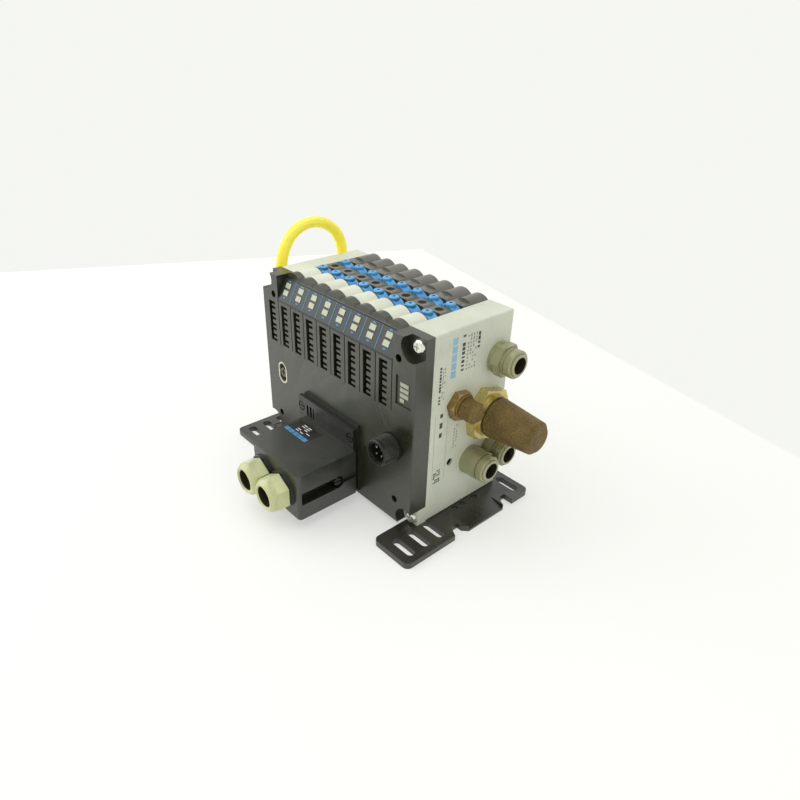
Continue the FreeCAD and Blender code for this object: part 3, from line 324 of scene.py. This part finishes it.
# the blue overrides' domes, with the radii of the painted shade in each eye and round each foot
domes = {"x": firstMiddle + 1.2, "pitch": bank["pitch"], "rows": (-4.25, 14.75), "eye": 0.95, "foot": 3.4}
coverPlastic = mouldedPlastic("coverPlastic", (0.012, 0.014, 0.005), (0.022, 0.025, 0.011), 0.3,
                              gloss=0.85, rub=0.6, dust=0.01)
plugPlastic = mouldedPlastic("plugPlastic", (0.009, 0.011, 0.006), (0.019, 0.021, 0.013), 0.3,
                             gloss=0.9, rub=0.6, dust=0.01)
framePlastic = mouldedPlastic("framePlastic", (0.006, 0.007, 0.004), (0.013, 0.014, 0.009), 0.34,
                              gloss=0.55, rub=0.5, dust=0.008)
housingPlastic = mouldedPlastic("housingPlastic", (0.066, 0.062, 0.046), (0.12, 0.117, 0.10), 0.3, gloss=0.9)
bluePlastic = domedBlue("bluePlastic", (0.035, 0.27, 0.60), (0.085, 0.45, 0.86), domes)
fittingPlastic = mouldedPlastic("fittingPlastic", (0.24, 0.235, 0.12), (0.35, 0.345, 0.19), 0.16, 1500,
                                0.1, 1.0, bores=tubeBoreShade)
collarPlastic = mouldedPlastic("collarPlastic", (0.28, 0.275, 0.15), (0.37, 0.365, 0.22), 0.22, 1500,
                               0.1, 0.7, bores=tubeBoreShade)
glandPlastic = mouldedPlastic("glandPlastic", (0.43, 0.455, 0.225), (0.61, 0.63, 0.35), 0.26, 1300, 0.15, 0.6,
                              bores=cableBoreShade, along="Y")
stripFoil = mouldedPlastic("stripFoil", (0.016, 0.023, 0.021), (0.027, 0.036, 0.034), 0.3, 900,
                           0.03, 0.4, 0.1)
sealRubber = mouldedPlastic("sealRubber", (0.012, 0.012, 0.011), (0.022, 0.022, 0.02), 0.6, 1400, 0.2)
bracketPlastic = mouldedPlastic("bracketPlastic", (0.013, 0.012, 0.008), (0.028, 0.026, 0.019), 0.28, 700,
                                0.3, 0.8, 0.6)
castAluminium = paintedCasting("castAluminium", (0.60, 0.625, 0.52), (0.71, 0.735, 0.63), 0.42)
portedCasting = paintedCasting("portedCasting", (0.57, 0.60, 0.50), (0.69, 0.715, 0.615), 0.42, **ventShade)
archCasting = paintedCasting("archCasting", (0.62, 0.64, 0.53), (0.74, 0.76, 0.65), 0.4, gapShade=(-8.2, 0.55))
zincSteel = turnedMetal("zincSteel", (0.62, 0.62, 0.56), (0.86, 0.86, 0.80), 0.22)
dullBrass = turnedMetal("dullBrass", (0.50, 0.41, 0.15), (0.78, 0.65, 0.29), 0.28, 0.85,
                        stain=(0.32, 0.245, 0.085), darkerInFront=7.5)
screwBrass = turnedMetal("screwBrass", (0.46, 0.34, 0.20), (0.72, 0.56, 0.40), 0.4, 0.35)
darkNickel = turnedMetal("darkNickel", (0.012, 0.012, 0.010), (0.03, 0.03, 0.025), 0.24, 0.3)
# a paler copy of the dark nickel for the thread crests and the rim: painted highlight on their edges
paleCrestNickel = turnedMetal("paleCrestNickel", (0.012, 0.012, 0.010), (0.055, 0.055, 0.05), 0.24, 0.5)
contactGold = turnedMetal("contactGold", (0.86, 0.84, 0.74), (0.95, 0.94, 0.88), 0.2)
bronzeSinter = sinteredBronze("bronzeSinter", [(0.3, (0.175, 0.115, 0.030)), (0.5, (0.235, 0.165, 0.045)),
                                               (0.75, (0.32, 0.235, 0.07))])
yellowTube = clearTube("yellowTube", (1.0, 0.78, 0.035), (1.0, 0.88, 0.10))
lensGlass = lightWindows("lensGlass", (0.50, 0.53, 0.39), (0.40, 0.415, 0.32), 108)
earthMetal = earthPlating("earthMetal", (0.80, 0.79, 0.62), (0.16, 0.15, 0.115), -34.3)
printBlue = mouldedPlastic("printBlue", (0.05, 0.20, 0.42), (0.09, 0.27, 0.52), 0.4, 900, 0.03)
printPaleBlue = mouldedPlastic("printPaleBlue", (0.20, 0.38, 0.55), (0.30, 0.48, 0.64), 0.45, 900, 0.03)
printGrey = mouldedPlastic("printGrey", (0.20, 0.21, 0.185), (0.30, 0.31, 0.275), 0.45, 900, 0.03)
printBlack = mouldedPlastic("printBlack", (0.030, 0.031, 0.028), (0.05, 0.05, 0.046), 0.4, 900, 0.03)
printWhite = mouldedPlastic("printWhite", (0.62, 0.64, 0.57), (0.78, 0.79, 0.72), 0.4, 900, 0.03)
foilBlack = mouldedPlastic("foilBlack", (0.010, 0.010, 0.009), (0.018, 0.018, 0.016), 0.26, 900,
                           0.05, 0.5, 0.1)
print("finishes made:", len(bpy.data.materials))


# the carried-over nodes get welded faces, soft edges and even shading; angles are in degrees

shading = {"weld": 0.005, "flat": 0.6, "bevelFrom": 38, "bevelSteps": 2, "splitFrom": 32, "weight": 95}


def dress(name, material, soften):
    node = nodes[name]
    node.data.materials.clear()
    node.data.materials.append(material)
    for face in node.data.polygons:
        face.use_smooth = True
    node.modifiers.new("weld", "WELD").merge_threshold = shading["weld"] * mm
    flat = node.modifiers.new("flat", "DECIMATE")
    flat.decimate_type = "DISSOLVE"
    flat.angle_limit = math.radians(shading["flat"])
    if soften:
        edge = node.modifiers.new("edge", "BEVEL")
        edge.width = soften * mm
        edge.segments = shading["bevelSteps"]
        edge.limit_method = "ANGLE"
        edge.angle_limit = math.radians(shading["bevelFrom"])
    node.modifiers.new("sharp", "EDGE_SPLIT").split_angle = math.radians(shading["splitFrom"])
    even = node.modifiers.new("even", "WEIGHTED_NORMAL")
    even.weight = shading["weight"]
    even.keep_sharp = True


# each node with its finish and the width of its softened edges
finishes = {
    "front_cover": (coverPlastic, 0.3), "display_strip": (stripFoil, 0), "light_lenses": (lensGlass, 0),
    "cover_screws": (zincSteel, 0), "earth_screw": (earthMetal, 0.2), "connector_frame": (framePlastic, 0.3),
    "plug_housing": (plugPlastic, 0.4), "plug_screws": (darkNickel, 0), "gland_nuts": (glandPlastic, 0.3),
    "gland_seals": (sealRubber, 0), "power_connector": (darkNickel, 0), "connector_pins": (contactGold, 0),
    "end_plate_left": (castAluminium, 0.4), "end_plate_right": (portedCasting, 0.4),
    "push_in_bodies": (fittingPlastic, 0.2), "elbow_bodies": (fittingPlastic, 0.3),
    "silencer_nut": (dullBrass, 0.4), "silencer_large": (bronzeSinter, 0),
    "silencer_small": (bronzeSinter, 0),
    "bracket_left": (bracketPlastic, 0.3), "bracket_right": (bracketPlastic, 0.3),
}
for name in ("right_1", "right_2", "right_3", "left_1", "left_2"):
    finishes["release_collar_" + name] = (collarPlastic, 0)
for index in range(1, bank["slices"] + 1):
    finishes["valve_body_%d" % index] = (archCasting, 0.2)
    finishes["pilot_housing_%d" % index] = (housingPlastic, 0.2)
    finishes["override_front_%d" % index] = (bluePlastic, 0.3)
    finishes["override_rear_%d" % index] = (bluePlastic, 0.3)
for name, (material, soften) in finishes.items():
    dress(name, material, soften)
print("nodes dressed:", len(finishes))


# free air tube, from elbow to elbow behind the left plate; its radius is in metres

airTube = {"radius": 0.004, "steps": 12, "roundness": 6,
           "route": [(-83.25, -12.00, 62.00), (-83.25, -12.00, 82.00), (-83.25, -16.00, 108.00),
                     (-83.87, -14.30, 131.00), (-84.87, -4.52, 145.48), (-85.25, 12.30, 150.62),
                     (-84.87, 28.12, 145.48), (-83.87, 37.90, 132.02), (-83.25, 37.10, 105.00),
                     (-83.25, 33.00, 82.00), (-83.25, 33.00, 62.00)]}
tubeCurve = bpy.data.curves.new("airTube", "CURVE")
tubeCurve.dimensions = "3D"
tubeLine = tubeCurve.splines.new("NURBS")
tubeLine.points.add(len(airTube["route"]) - 1)
for point, place in zip(tubeLine.points, airTube["route"]):
    point.co = (*metres(*place), 1)
tubeLine.order_u = 3
tubeLine.use_endpoint_u = True
tubeLine.resolution_u = airTube["steps"]
tubeCurve.bevel_depth = airTube["radius"]
tubeCurve.bevel_resolution = airTube["roundness"]
tubeCurve.use_fill_caps = True
tubePiece = bpy.data.objects.new("airTube", tubeCurve)
scene.collection.objects.link(tubePiece)
tubePiece.data.materials.append(yellowTube)
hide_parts("supply_tube")
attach(tubePiece, "bank")


# Geometry Nodes for what repeats: rows of bars and discs, fields of dashes, stacks of rings

socketKinds = {int: "NodeSocketInt", float: "NodeSocketFloat", tuple: "NodeSocketVector"}
facets = {"disc": 32, "hoop": 72, "wire": 8}
shortestDash = 0.45


def newTree(name, sizes):
    tree = bpy.data.node_groups.new(name, "GeometryNodeTree")
    tree.interface.new_socket("Geometry", in_out="INPUT", socket_type="NodeSocketGeometry")
    tree.interface.new_socket("Geometry", in_out="OUTPUT", socket_type="NodeSocketGeometry")
    for label, value in sizes.items():
        tree.interface.new_socket(label, in_out="INPUT", socket_type=socketKinds[type(value)])
    return tree, tree.nodes.new("NodeGroupInput").outputs


def endTree(tree, shape, material):
    real = tree.nodes.new("GeometryNodeRealizeInstances")
    paint = tree.nodes.new("GeometryNodeSetMaterial")
    paint.inputs["Material"].default_value = material
    leave = tree.nodes.new("NodeGroupOutput")
    tree.links.new(shape, real.inputs["Geometry"])
    tree.links.new(real.outputs["Geometry"], paint.inputs["Geometry"])
    tree.links.new(paint.outputs["Geometry"], leave.inputs["Geometry"])


def lineOf(tree, count, start, step):
    line = tree.nodes.new("GeometryNodeMeshLine")
    line.mode = "OFFSET"
    tree.links.new(count, line.inputs["Count"])
    if start:
        tree.links.new(start, line.inputs["Start Location"])
    tree.links.new(step, line.inputs["Offset"])
    return line.outputs["Mesh"]


def placed(tree, points, shape, turn=None, scale=None, chosen=None):
    put = tree.nodes.new("GeometryNodeInstanceOnPoints")
    tree.links.new(points, put.inputs["Points"])
    tree.links.new(shape, put.inputs["Instance"])
    for label, source in (("Rotation", turn), ("Scale", scale), ("Selection", chosen)):
        if source:
            tree.links.new(source, put.inputs[label])
    return put.outputs["Instances"]


def boxOf(tree, size):
    box = tree.nodes.new("GeometryNodeMeshCube")
    tree.links.new(size, box.inputs["Size"])
    return box.outputs["Mesh"]


def grow(name, tree, sizes):
    # run a tree once and keep its plain mesh as a piece on the bank
    holder = bpy.data.objects.new(name + "Seed", bpy.data.meshes.new(name + "Seed"))
    scene.collection.objects.link(holder)
    run = holder.modifiers.new("grow", "NODES")
    run.node_group = tree
    for socket in tree.interface.items_tree:
        if socket.item_type == "SOCKET" and socket.in_out == "INPUT" and socket.name in sizes:
            run[socket.identifier] = sizes[socket.name]
    seen = holder.evaluated_get(bpy.context.evaluated_depsgraph_get())
    mesh = bpy.data.meshes.new_from_object(seen)
    mesh.name = name
    holder.modifiers.clear()
    bpy.data.objects.remove(holder)
    piece = bpy.data.objects.new(name, mesh)
    scene.collection.objects.link(piece)
    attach(piece, "bank")
    print("grown: %s, %d faces" % (name, len(mesh.polygons)))
    return piece


def barRow(name, material, sizes):
    tree, given = newTree(name, sizes)
    row = lineOf(tree, given["Count"], given["First"], given["Step"])
    endTree(tree, placed(tree, row, boxOf(tree, given["Size"]), given["Turn"]), material)
    return grow(name, tree, sizes)


def discRow(name, material, sizes):
    tree, given = newTree(name, sizes)
    row = lineOf(tree, given["Count"], given["First"], given["Step"])
    disc = tree.nodes.new("GeometryNodeMeshCylinder")
    disc.inputs["Vertices"].default_value = facets["disc"]
    tree.links.new(given["Radius"], disc.inputs["Radius"])
    tree.links.new(given["Depth"], disc.inputs["Depth"])
    endTree(tree, placed(tree, row, disc.outputs["Mesh"], given["Turn"]), material)
    return grow(name, tree, sizes)


def dashField(name, material, sizes):
    # columns of dashes, with some left out and the others of uneven length along Z
    tree, given = newTree(name, sizes)
    column = lineOf(tree, given["Rows"], None, given["RowStep"])
    columns = lineOf(tree, given["Columns"], given["First"], given["ColumnStep"])
    spots = tree.nodes.new("GeometryNodeRealizeInstances")
    tree.links.new(placed(tree, columns, column), spots.inputs["Geometry"])
    keep = tree.nodes.new("FunctionNodeRandomValue")
    keep.data_type = "BOOLEAN"
    length = tree.nodes.new("FunctionNodeRandomValue")
    length.data_type = "FLOAT_VECTOR"
    length.inputs["Min"].default_value = (1, 1, shortestDash)
    length.inputs["Max"].default_value = (1, 1, 1)
    tree.links.new(given["Share"], keep.inputs["Probability"])
    for node in (keep, length):
        tree.links.new(given["Seed"], node.inputs["Seed"])
    chosen = [s for s in keep.outputs if s.enabled][0]
    scale = [s for s in length.outputs if s.enabled][0]
    field = placed(tree, spots.outputs["Geometry"], boxOf(tree, given["Size"]), None, scale, chosen)
    endTree(tree, field, material)
    return grow(name, tree, sizes)


def ringStack(name, material, sizes):
    tree, given = newTree(name, sizes)
    row = lineOf(tree, given["Count"], given["First"], given["Step"])
    hoop = tree.nodes.new("GeometryNodeCurvePrimitiveCircle")
    wire = tree.nodes.new("GeometryNodeCurvePrimitiveCircle")
    sweep = tree.nodes.new("GeometryNodeCurveToMesh")
    hoop.inputs["Resolution"].default_value = facets["hoop"]
    wire.inputs["Resolution"].default_value = facets["wire"]
    tree.links.new(given["Radius"], hoop.inputs["Radius"])
    tree.links.new(given["Wire"], wire.inputs["Radius"])
    tree.links.new(hoop.outputs["Curve"], sweep.inputs["Curve"])
    tree.links.new(wire.outputs["Curve"], sweep.inputs["Profile Curve"])
    endTree(tree, placed(tree, row, sweep.outputs["Mesh"], given["Turn"]), material)
    piece = grow(name, tree, sizes)
    for face in piece.data.polygons:
        face.use_smooth = True
    return piece


# display strip: dividers between the columns, small marks and a dark frame round each window

strip = {"foot": (-34.95, 112.5), "top": (-28.2, 125.4), "shift": -1.2, "proud": 0.06, "ink": 0.14,
         "divider": 0.38, "ends": 0.3, "mark": 0.75, "frame": (5.7, 0.1, 4.1),
         "marks": {"stripUpperMarks": (0.925, 2.6), "stripLowerMarks": (0.175, 2.2)},
         "frames": {"windowFrameUpper": 0.735, "windowFrameLower": 0.4}}
stripUp = Vector((0, strip["top"][0] - strip["foot"][0], strip["top"][1] - strip["foot"][1]))
stripOut = Vector((0, -stripUp.z, stripUp.y)).normalized() * strip["proud"]
stripTurn = (-math.atan2(stripUp.y, stripUp.z), 0.0, 0.0)


def onStrip(x, share):
    # a place on the strip's slope, by its share of the way up
    return metres(*(Vector((x, *strip["foot"])) + stripUp * share + stripOut))


oneSlice = metres(bank["pitch"], 0, 0)
firstDivider = bank["left"] + bank["pitch"] + strip["shift"]
firstWindow = firstMiddle + strip["shift"]
barRow("stripDividers", printBlue, {
    "Count": bank["slices"] - 1, "First": onStrip(firstDivider, 0.5), "Step": oneSlice,
    "Size": metres(strip["divider"], strip["ink"], stripUp.length - strip["ends"]), "Turn": stripTurn})
for name, (share, wide) in strip["marks"].items():
    barRow(name, printBlue, {
        "Count": bank["slices"], "First": onStrip(firstWindow, share), "Step": oneSlice,
        "Size": metres(wide, strip["ink"], strip["mark"]), "Turn": stripTurn})
for name, share in strip["frames"].items():
    barRow(name, foilBlack, {
        "Count": bank["slices"], "First": onStrip(firstWindow, share), "Step": oneSlice,
        "Size": metres(*strip["frame"]), "Turn": stripTurn})


# print on the right plate: blocks, two fine lines and fields of dashes, all plain

plate = {"face": 72.75, "ink": 0.05, "blockInk": 0.06}
unturned = (0.0, 0.0, 0.0)
barRow("plateBlueBlocks", printPaleBlue, {
    "Count": 5, "First": metres(plate["face"], -6.3, 100.8), "Step": metres(0, 0.02, 5.05),
    "Size": metres(plate["blockInk"], 4.0, 4.3), "Turn": unturned})
barRow("plateFineLines", printGrey, {
    "Count": 2, "First": metres(plate["face"], -7.9, 54.0), "Step": metres(0, -10.2, 2.0),
    "Size": metres(plate["ink"], 0.22, 46.0), "Turn": unturned})
plateFields = {
    "plateBoldDashes": {"ink": printBlack, "columns": 1, "rows": 9, "first": (0.9, 101.6), "dash": (2.4, 2.2),
                        "apart": 3.0, "row": 2.6, "share": 0.95, "seed": 4},
    "plateThinDashes": {"ink": printGrey, "columns": 4, "rows": 10, "first": (4.4, 101.2), "dash": (1.1, 2.0),
                        "apart": 2.2, "row": 2.25, "share": 0.8, "seed": 11},
    "plateCornerDashes": {"ink": printBlack, "columns": 1, "rows": 4, "first": (13.4, 112.6),
                          "dash": (1.9, 2.4), "apart": 2.2, "row": 2.7, "share": 1.0, "seed": 2},
    "plateSideDashes": {"ink": printBlack, "columns": 1, "rows": 12, "first": (-16.2, 85.6),
                        "dash": (1.5, 1.9), "apart": 2.0, "row": 2.0, "share": 0.95, "seed": 7},
    "plateSideThin": {"ink": printGrey, "columns": 2, "rows": 10, "first": (-14.2, 87.6), "dash": (0.7, 1.8),
                      "apart": 1.4, "row": 2.1, "share": 0.85, "seed": 3},
    "plateLowDashes": {"ink": printGrey, "columns": 2, "rows": 8, "first": (-1.4, 50.5), "dash": (0.8, 1.8),
                       "apart": 2.0, "row": 2.1, "share": 0.8, "seed": 21},
    "plateMarks": {"ink": printBlack, "columns": 1, "rows": 3, "first": (-13.3, 63.5), "dash": (2.3, 3.8),
                   "apart": 2.0, "row": 6.6, "share": 1.0, "seed": 1},
    "plateCheck": {"ink": printBlack, "columns": 4, "rows": 6, "first": (-16.6, 30.6), "dash": (1.25, 1.4),
                   "apart": 1.5, "row": 1.6, "share": 0.65, "seed": 5},
}
for name, field in plateFields.items():
    dashField(name, field["ink"], {
        "Columns": field["columns"], "Rows": field["rows"], "First": metres(plate["face"], *field["first"]),
        "ColumnStep": metres(0, field["apart"], 0), "RowStep": metres(0, 0, field["row"]),
        "Size": metres(plate["ink"], *field["dash"]), "Share": field["share"], "Seed": field["seed"]})


# bare label on the plug's top: black foil, a blue band and rows of plain fields

label = {"left": -24.5, "right": -0.3, "front": -58.5, "rear": -44.4, "top": 40.0, "foil": 0.1, "ink": 0.14,
         "band": {"from": (2.6, 1.95), "block": (4.2, 3.3), "step": 4.7},
         "fields": {"from": (4, 5.4), "dash": (3.4, 0.8), "column": 4.6, "row": 1.7}}


def onLabel(x, y):
    # a place counted from the label's front left corner
    return metres(label["left"] + x, label["front"] + y, label["top"])


labelWide = label["right"] - label["left"]
labelDeep = label["rear"] - label["front"]
barRow("plugLabel", foilBlack, {
    "Count": 1, "First": onLabel(labelWide / 2, labelDeep / 2), "Step": metres(1, 0, 0),
    "Size": metres(labelWide, labelDeep, label["foil"]), "Turn": unturned})
band, fields = label["band"], label["fields"]
barRow("plugLabelBand", printBlue, {
    "Count": 5, "First": onLabel(*band["from"]), "Step": metres(band["step"], 0, 0),
    "Size": metres(*band["block"], label["ink"]), "Turn": unturned})
dashField("plugLabelFields", printWhite, {
    "Columns": 4, "Rows": 5, "First": onLabel(*fields["from"]), "ColumnStep": metres(fields["column"], 0, 0),
    "RowStep": metres(0, fields["row"], 0), "Size": metres(*fields["dash"], label["ink"]),
    "Share": 0.7, "Seed": 9})


# pilot housings: brass screws in the bridges' bores, a black bar on each as the painted shade of its slot,
# and a small dark dot on each rear lump

low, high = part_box("housing_screws")
bridgeScrew = {"y": (low[1] + high[1]) / 2 / mm, "foot": low[2] / mm, "tall": 2.0, "radius": 2.15,
               "slot": (3.7, 0.7, 0.1), "turn": 25}
screwPiece = discRow("bridgeScrews", screwBrass, {
    "Count": bank["slices"],
    "First": metres(firstMiddle, bridgeScrew["y"], bridgeScrew["foot"] + bridgeScrew["tall"] / 2),
    "Step": oneSlice, "Radius": bridgeScrew["radius"] * mm, "Depth": bridgeScrew["tall"] * mm,
    "Turn": unturned})
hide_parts("housing_screws")
# black bars as painted shade in the screws' slots
barRow("bridgeSlotShade", printBlack, {
    "Count": bank["slices"],
    "First": metres(firstMiddle, bridgeScrew["y"], bridgeScrew["foot"] + bridgeScrew["tall"]),
    "Step": oneSlice, "Size": metres(*bridgeScrew["slot"]),
    "Turn": (0.0, 0.0, math.radians(bridgeScrew["turn"]))})
low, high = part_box("pilot_housing_1")
lumpMark = {"y": high[1] / mm - 17.5, "top": high[2] / mm, "radius": 0.65, "ink": 0.1}
discRow("lumpMarks", printBlack, {
    "Count": bank["slices"], "First": metres(firstMiddle, lumpMark["y"], lumpMark["top"]), "Step": oneSlice,
    "Radius": lumpMark["radius"] * mm, "Depth": lumpMark["ink"] * mm, "Turn": unturned})


# power plug: the crests of its fine thread and its rim, in the paler nickel as painted highlight

powerPlug = {"x": 56.15, "z": 57.6, "start": -37.4, "end": -46.8, "pitch": 1.25, "radius": 7.95, "wire": 0.36,
             "face": -47.8, "rim": 7.6, "rimWire": 0.2}
acrossY = (math.radians(90), 0.0, 0.0)
ringStack("powerThread", paleCrestNickel, {
    "Count": int((powerPlug["start"] - powerPlug["end"]) / powerPlug["pitch"]),
    "First": metres(powerPlug["x"], powerPlug["start"], powerPlug["z"]),
    "Step": metres(0, -powerPlug["pitch"], 0), "Radius": powerPlug["radius"] * mm,
    "Wire": powerPlug["wire"] * mm, "Turn": acrossY})
ringStack("powerRim", paleCrestNickel, {
    "Count": 1, "First": metres(powerPlug["x"], powerPlug["face"], powerPlug["z"]), "Step": metres(0, 1, 0),
    "Radius": powerPlug["rim"] * mm, "Wire": powerPlug["rimWire"] * mm, "Turn": acrossY})


# stage and light, in metres

def cameraShare(tree):
    # 1 for rays that carry the background to the eye
    rays = tree.nodes.new("ShaderNodeLightPath")
    direct = maths(tree, "MAXIMUM", rays.outputs["Is Camera Ray"], rays.outputs["Is Glossy Ray"])
    return maths(tree, "MAXIMUM", direct, rays.outputs["Is Transmission Ray"])


def glowing(tree, colour, share, under):
    # the shader under, replaced by a plain tone to this share
    tone = tree.nodes.new("ShaderNodeEmission")
    tone.inputs["Color"].default_value = (*colour, 1)
    either = tree.nodes.new("ShaderNodeMixShader")
    tree.links.new(share, either.inputs["Fac"])
    tree.links.new(under, either.inputs[1])
    tree.links.new(tone.outputs["Emission"], either.inputs[2])
    return either.outputs["Shader"]


stage = {"reach": 3.0, "floor": (0.965, 0.97, 0.955), "wall": (0.915, 0.925, 0.89), "level": 0.7,
         "air": (0.95, 0.955, 0.88), "lift": 0.45, "white": (0.98, 0.985, 0.965), "fade": 0.003,
         "feet": [((-0.8974, 0.4413, 0), 0.4832), ((0.2465, 0.969, 0), 0.2827)]}
floorMaterial, floorTree, floorShader = newMaterial("paleFloor")
floorShader.inputs["Base Color"].default_value = (*stage["floor"], 1)
floorShader.inputs["Roughness"].default_value = 0.8
floorShader.inputs["Specular IOR Level"].default_value = 0.2
where = floorTree.nodes.new("ShaderNodeTexCoord")
beyond = 0.0
for outward, reach in stage["feet"]:
    # past these two lines the floor takes the plain tone of the backdrop behind it
    along = floorTree.nodes.new("ShaderNodeVectorMath")
    along.operation = "DOT_PRODUCT"
    along.inputs[1].default_value = outward
    floorTree.links.new(where.outputs["Object"], along.inputs[0])
    past = spread(floorTree, along.outputs["Value"], 0.0, 1.0, reach, reach + stage["fade"])
    beyond = maths(floorTree, "MAXIMUM", beyond, past)
seen = cameraShare(floorTree)
lifted = glowing(floorTree, stage["white"], maths(floorTree, "MULTIPLY", seen, stage["lift"]),
                 floorShader.outputs["BSDF"])
floorTree.links.new(glowing(floorTree, stage["wall"], maths(floorTree, "MULTIPLY", seen, beyond), lifted),
                    floorTree.nodes["Material Output"].inputs["Surface"])
floorMesh = bpy.data.meshes.new("floor")
reach = stage["reach"]
corners = [(-reach, -reach, 0), (reach, -reach, 0), (reach, reach, 0), (-reach, reach, 0)]
floorMesh.from_pydata(corners, [], [(0, 1, 2, 3)])
floorMesh.materials.append(floorMaterial)
floor = bpy.data.objects.new("floor", floorMesh)
scene.collection.objects.link(floor)

world = bpy.data.worlds.new("studio")
scene.world = world
world.use_nodes = True
worldTree = world.node_tree
light = worldTree.nodes["Background"]
light.inputs["Color"].default_value = (*stage["air"], 1)
light.inputs["Strength"].default_value = stage["level"]
wall = worldTree.nodes.new("ShaderNodeBackground")
wall.inputs["Color"].default_value = (*stage["wall"], 1)
both = worldTree.nodes.new("ShaderNodeMixShader")
worldTree.links.new(cameraShare(worldTree), both.inputs["Fac"])
worldTree.links.new(light.outputs["Background"], both.inputs[1])
worldTree.links.new(wall.outputs["Background"], both.inputs[2])
worldTree.links.new(both.outputs["Shader"], worldTree.nodes["World Output"].inputs["Surface"])

lamps = {
    "above": {"from": (-0.15, -0.15, 1.3), "size": 1.8, "power": 8.9},
    "left": {"from": (-1.1, -0.8, 0.7), "size": 1.1, "power": 7},
    "right": {"from": (1.1, -0.1, 0.6), "size": 0.9, "power": 0.3},
}
lampAim = Vector((0, 0, 0.06))
for name, lamp in lamps.items():
    glow = bpy.data.lights.new(name, "AREA")
    glow.size = lamp["size"]
    glow.energy = lamp["power"]
    holder = bpy.data.objects.new(name, glow)
    holder.location = lamp["from"]
    holder.rotation_euler = (lampAim - holder.location).to_track_quat("-Z", "Y").to_euler()
    scene.collection.objects.link(holder)


# camera at the photograph's angle, solved from the body's corners; near is in metres

shot = {"turn": 46.9, "rise": 29.83, "roll": 1.91, "away": 352.32, "aim": (60.92, -35.0, 89.84),
        "lens": 28.88, "sensor": 36, "near": 0.01}
turn, rise, roll = (math.radians(shot[k]) for k in ("turn", "rise", "roll"))
backward = Vector((math.sin(turn) * math.cos(rise), -math.cos(turn) * math.cos(rise), math.sin(rise)))
sideways = (-backward).cross(Vector((0, 0, 1))).normalized()
upward = sideways.cross(-backward)
right = sideways * math.cos(roll) + upward * math.sin(roll)
up = -sideways * math.sin(roll) + upward * math.cos(roll)
lens = bpy.data.cameras.new("camera")
lens.lens = shot["lens"]
lens.sensor_width = shot["sensor"]
lens.sensor_fit = "HORIZONTAL"
lens.clip_start = shot["near"]
camera = bpy.data.objects.new("camera", lens)
scene.collection.objects.link(camera)
eye = Vector(metres(*shot["aim"])) + backward * shot["away"] * mm
camera.matrix_world = Matrix.Translation(eye) @ Matrix((right, up, backward)).transposed().to_4x4()
scene.camera = camera
print("camera set")
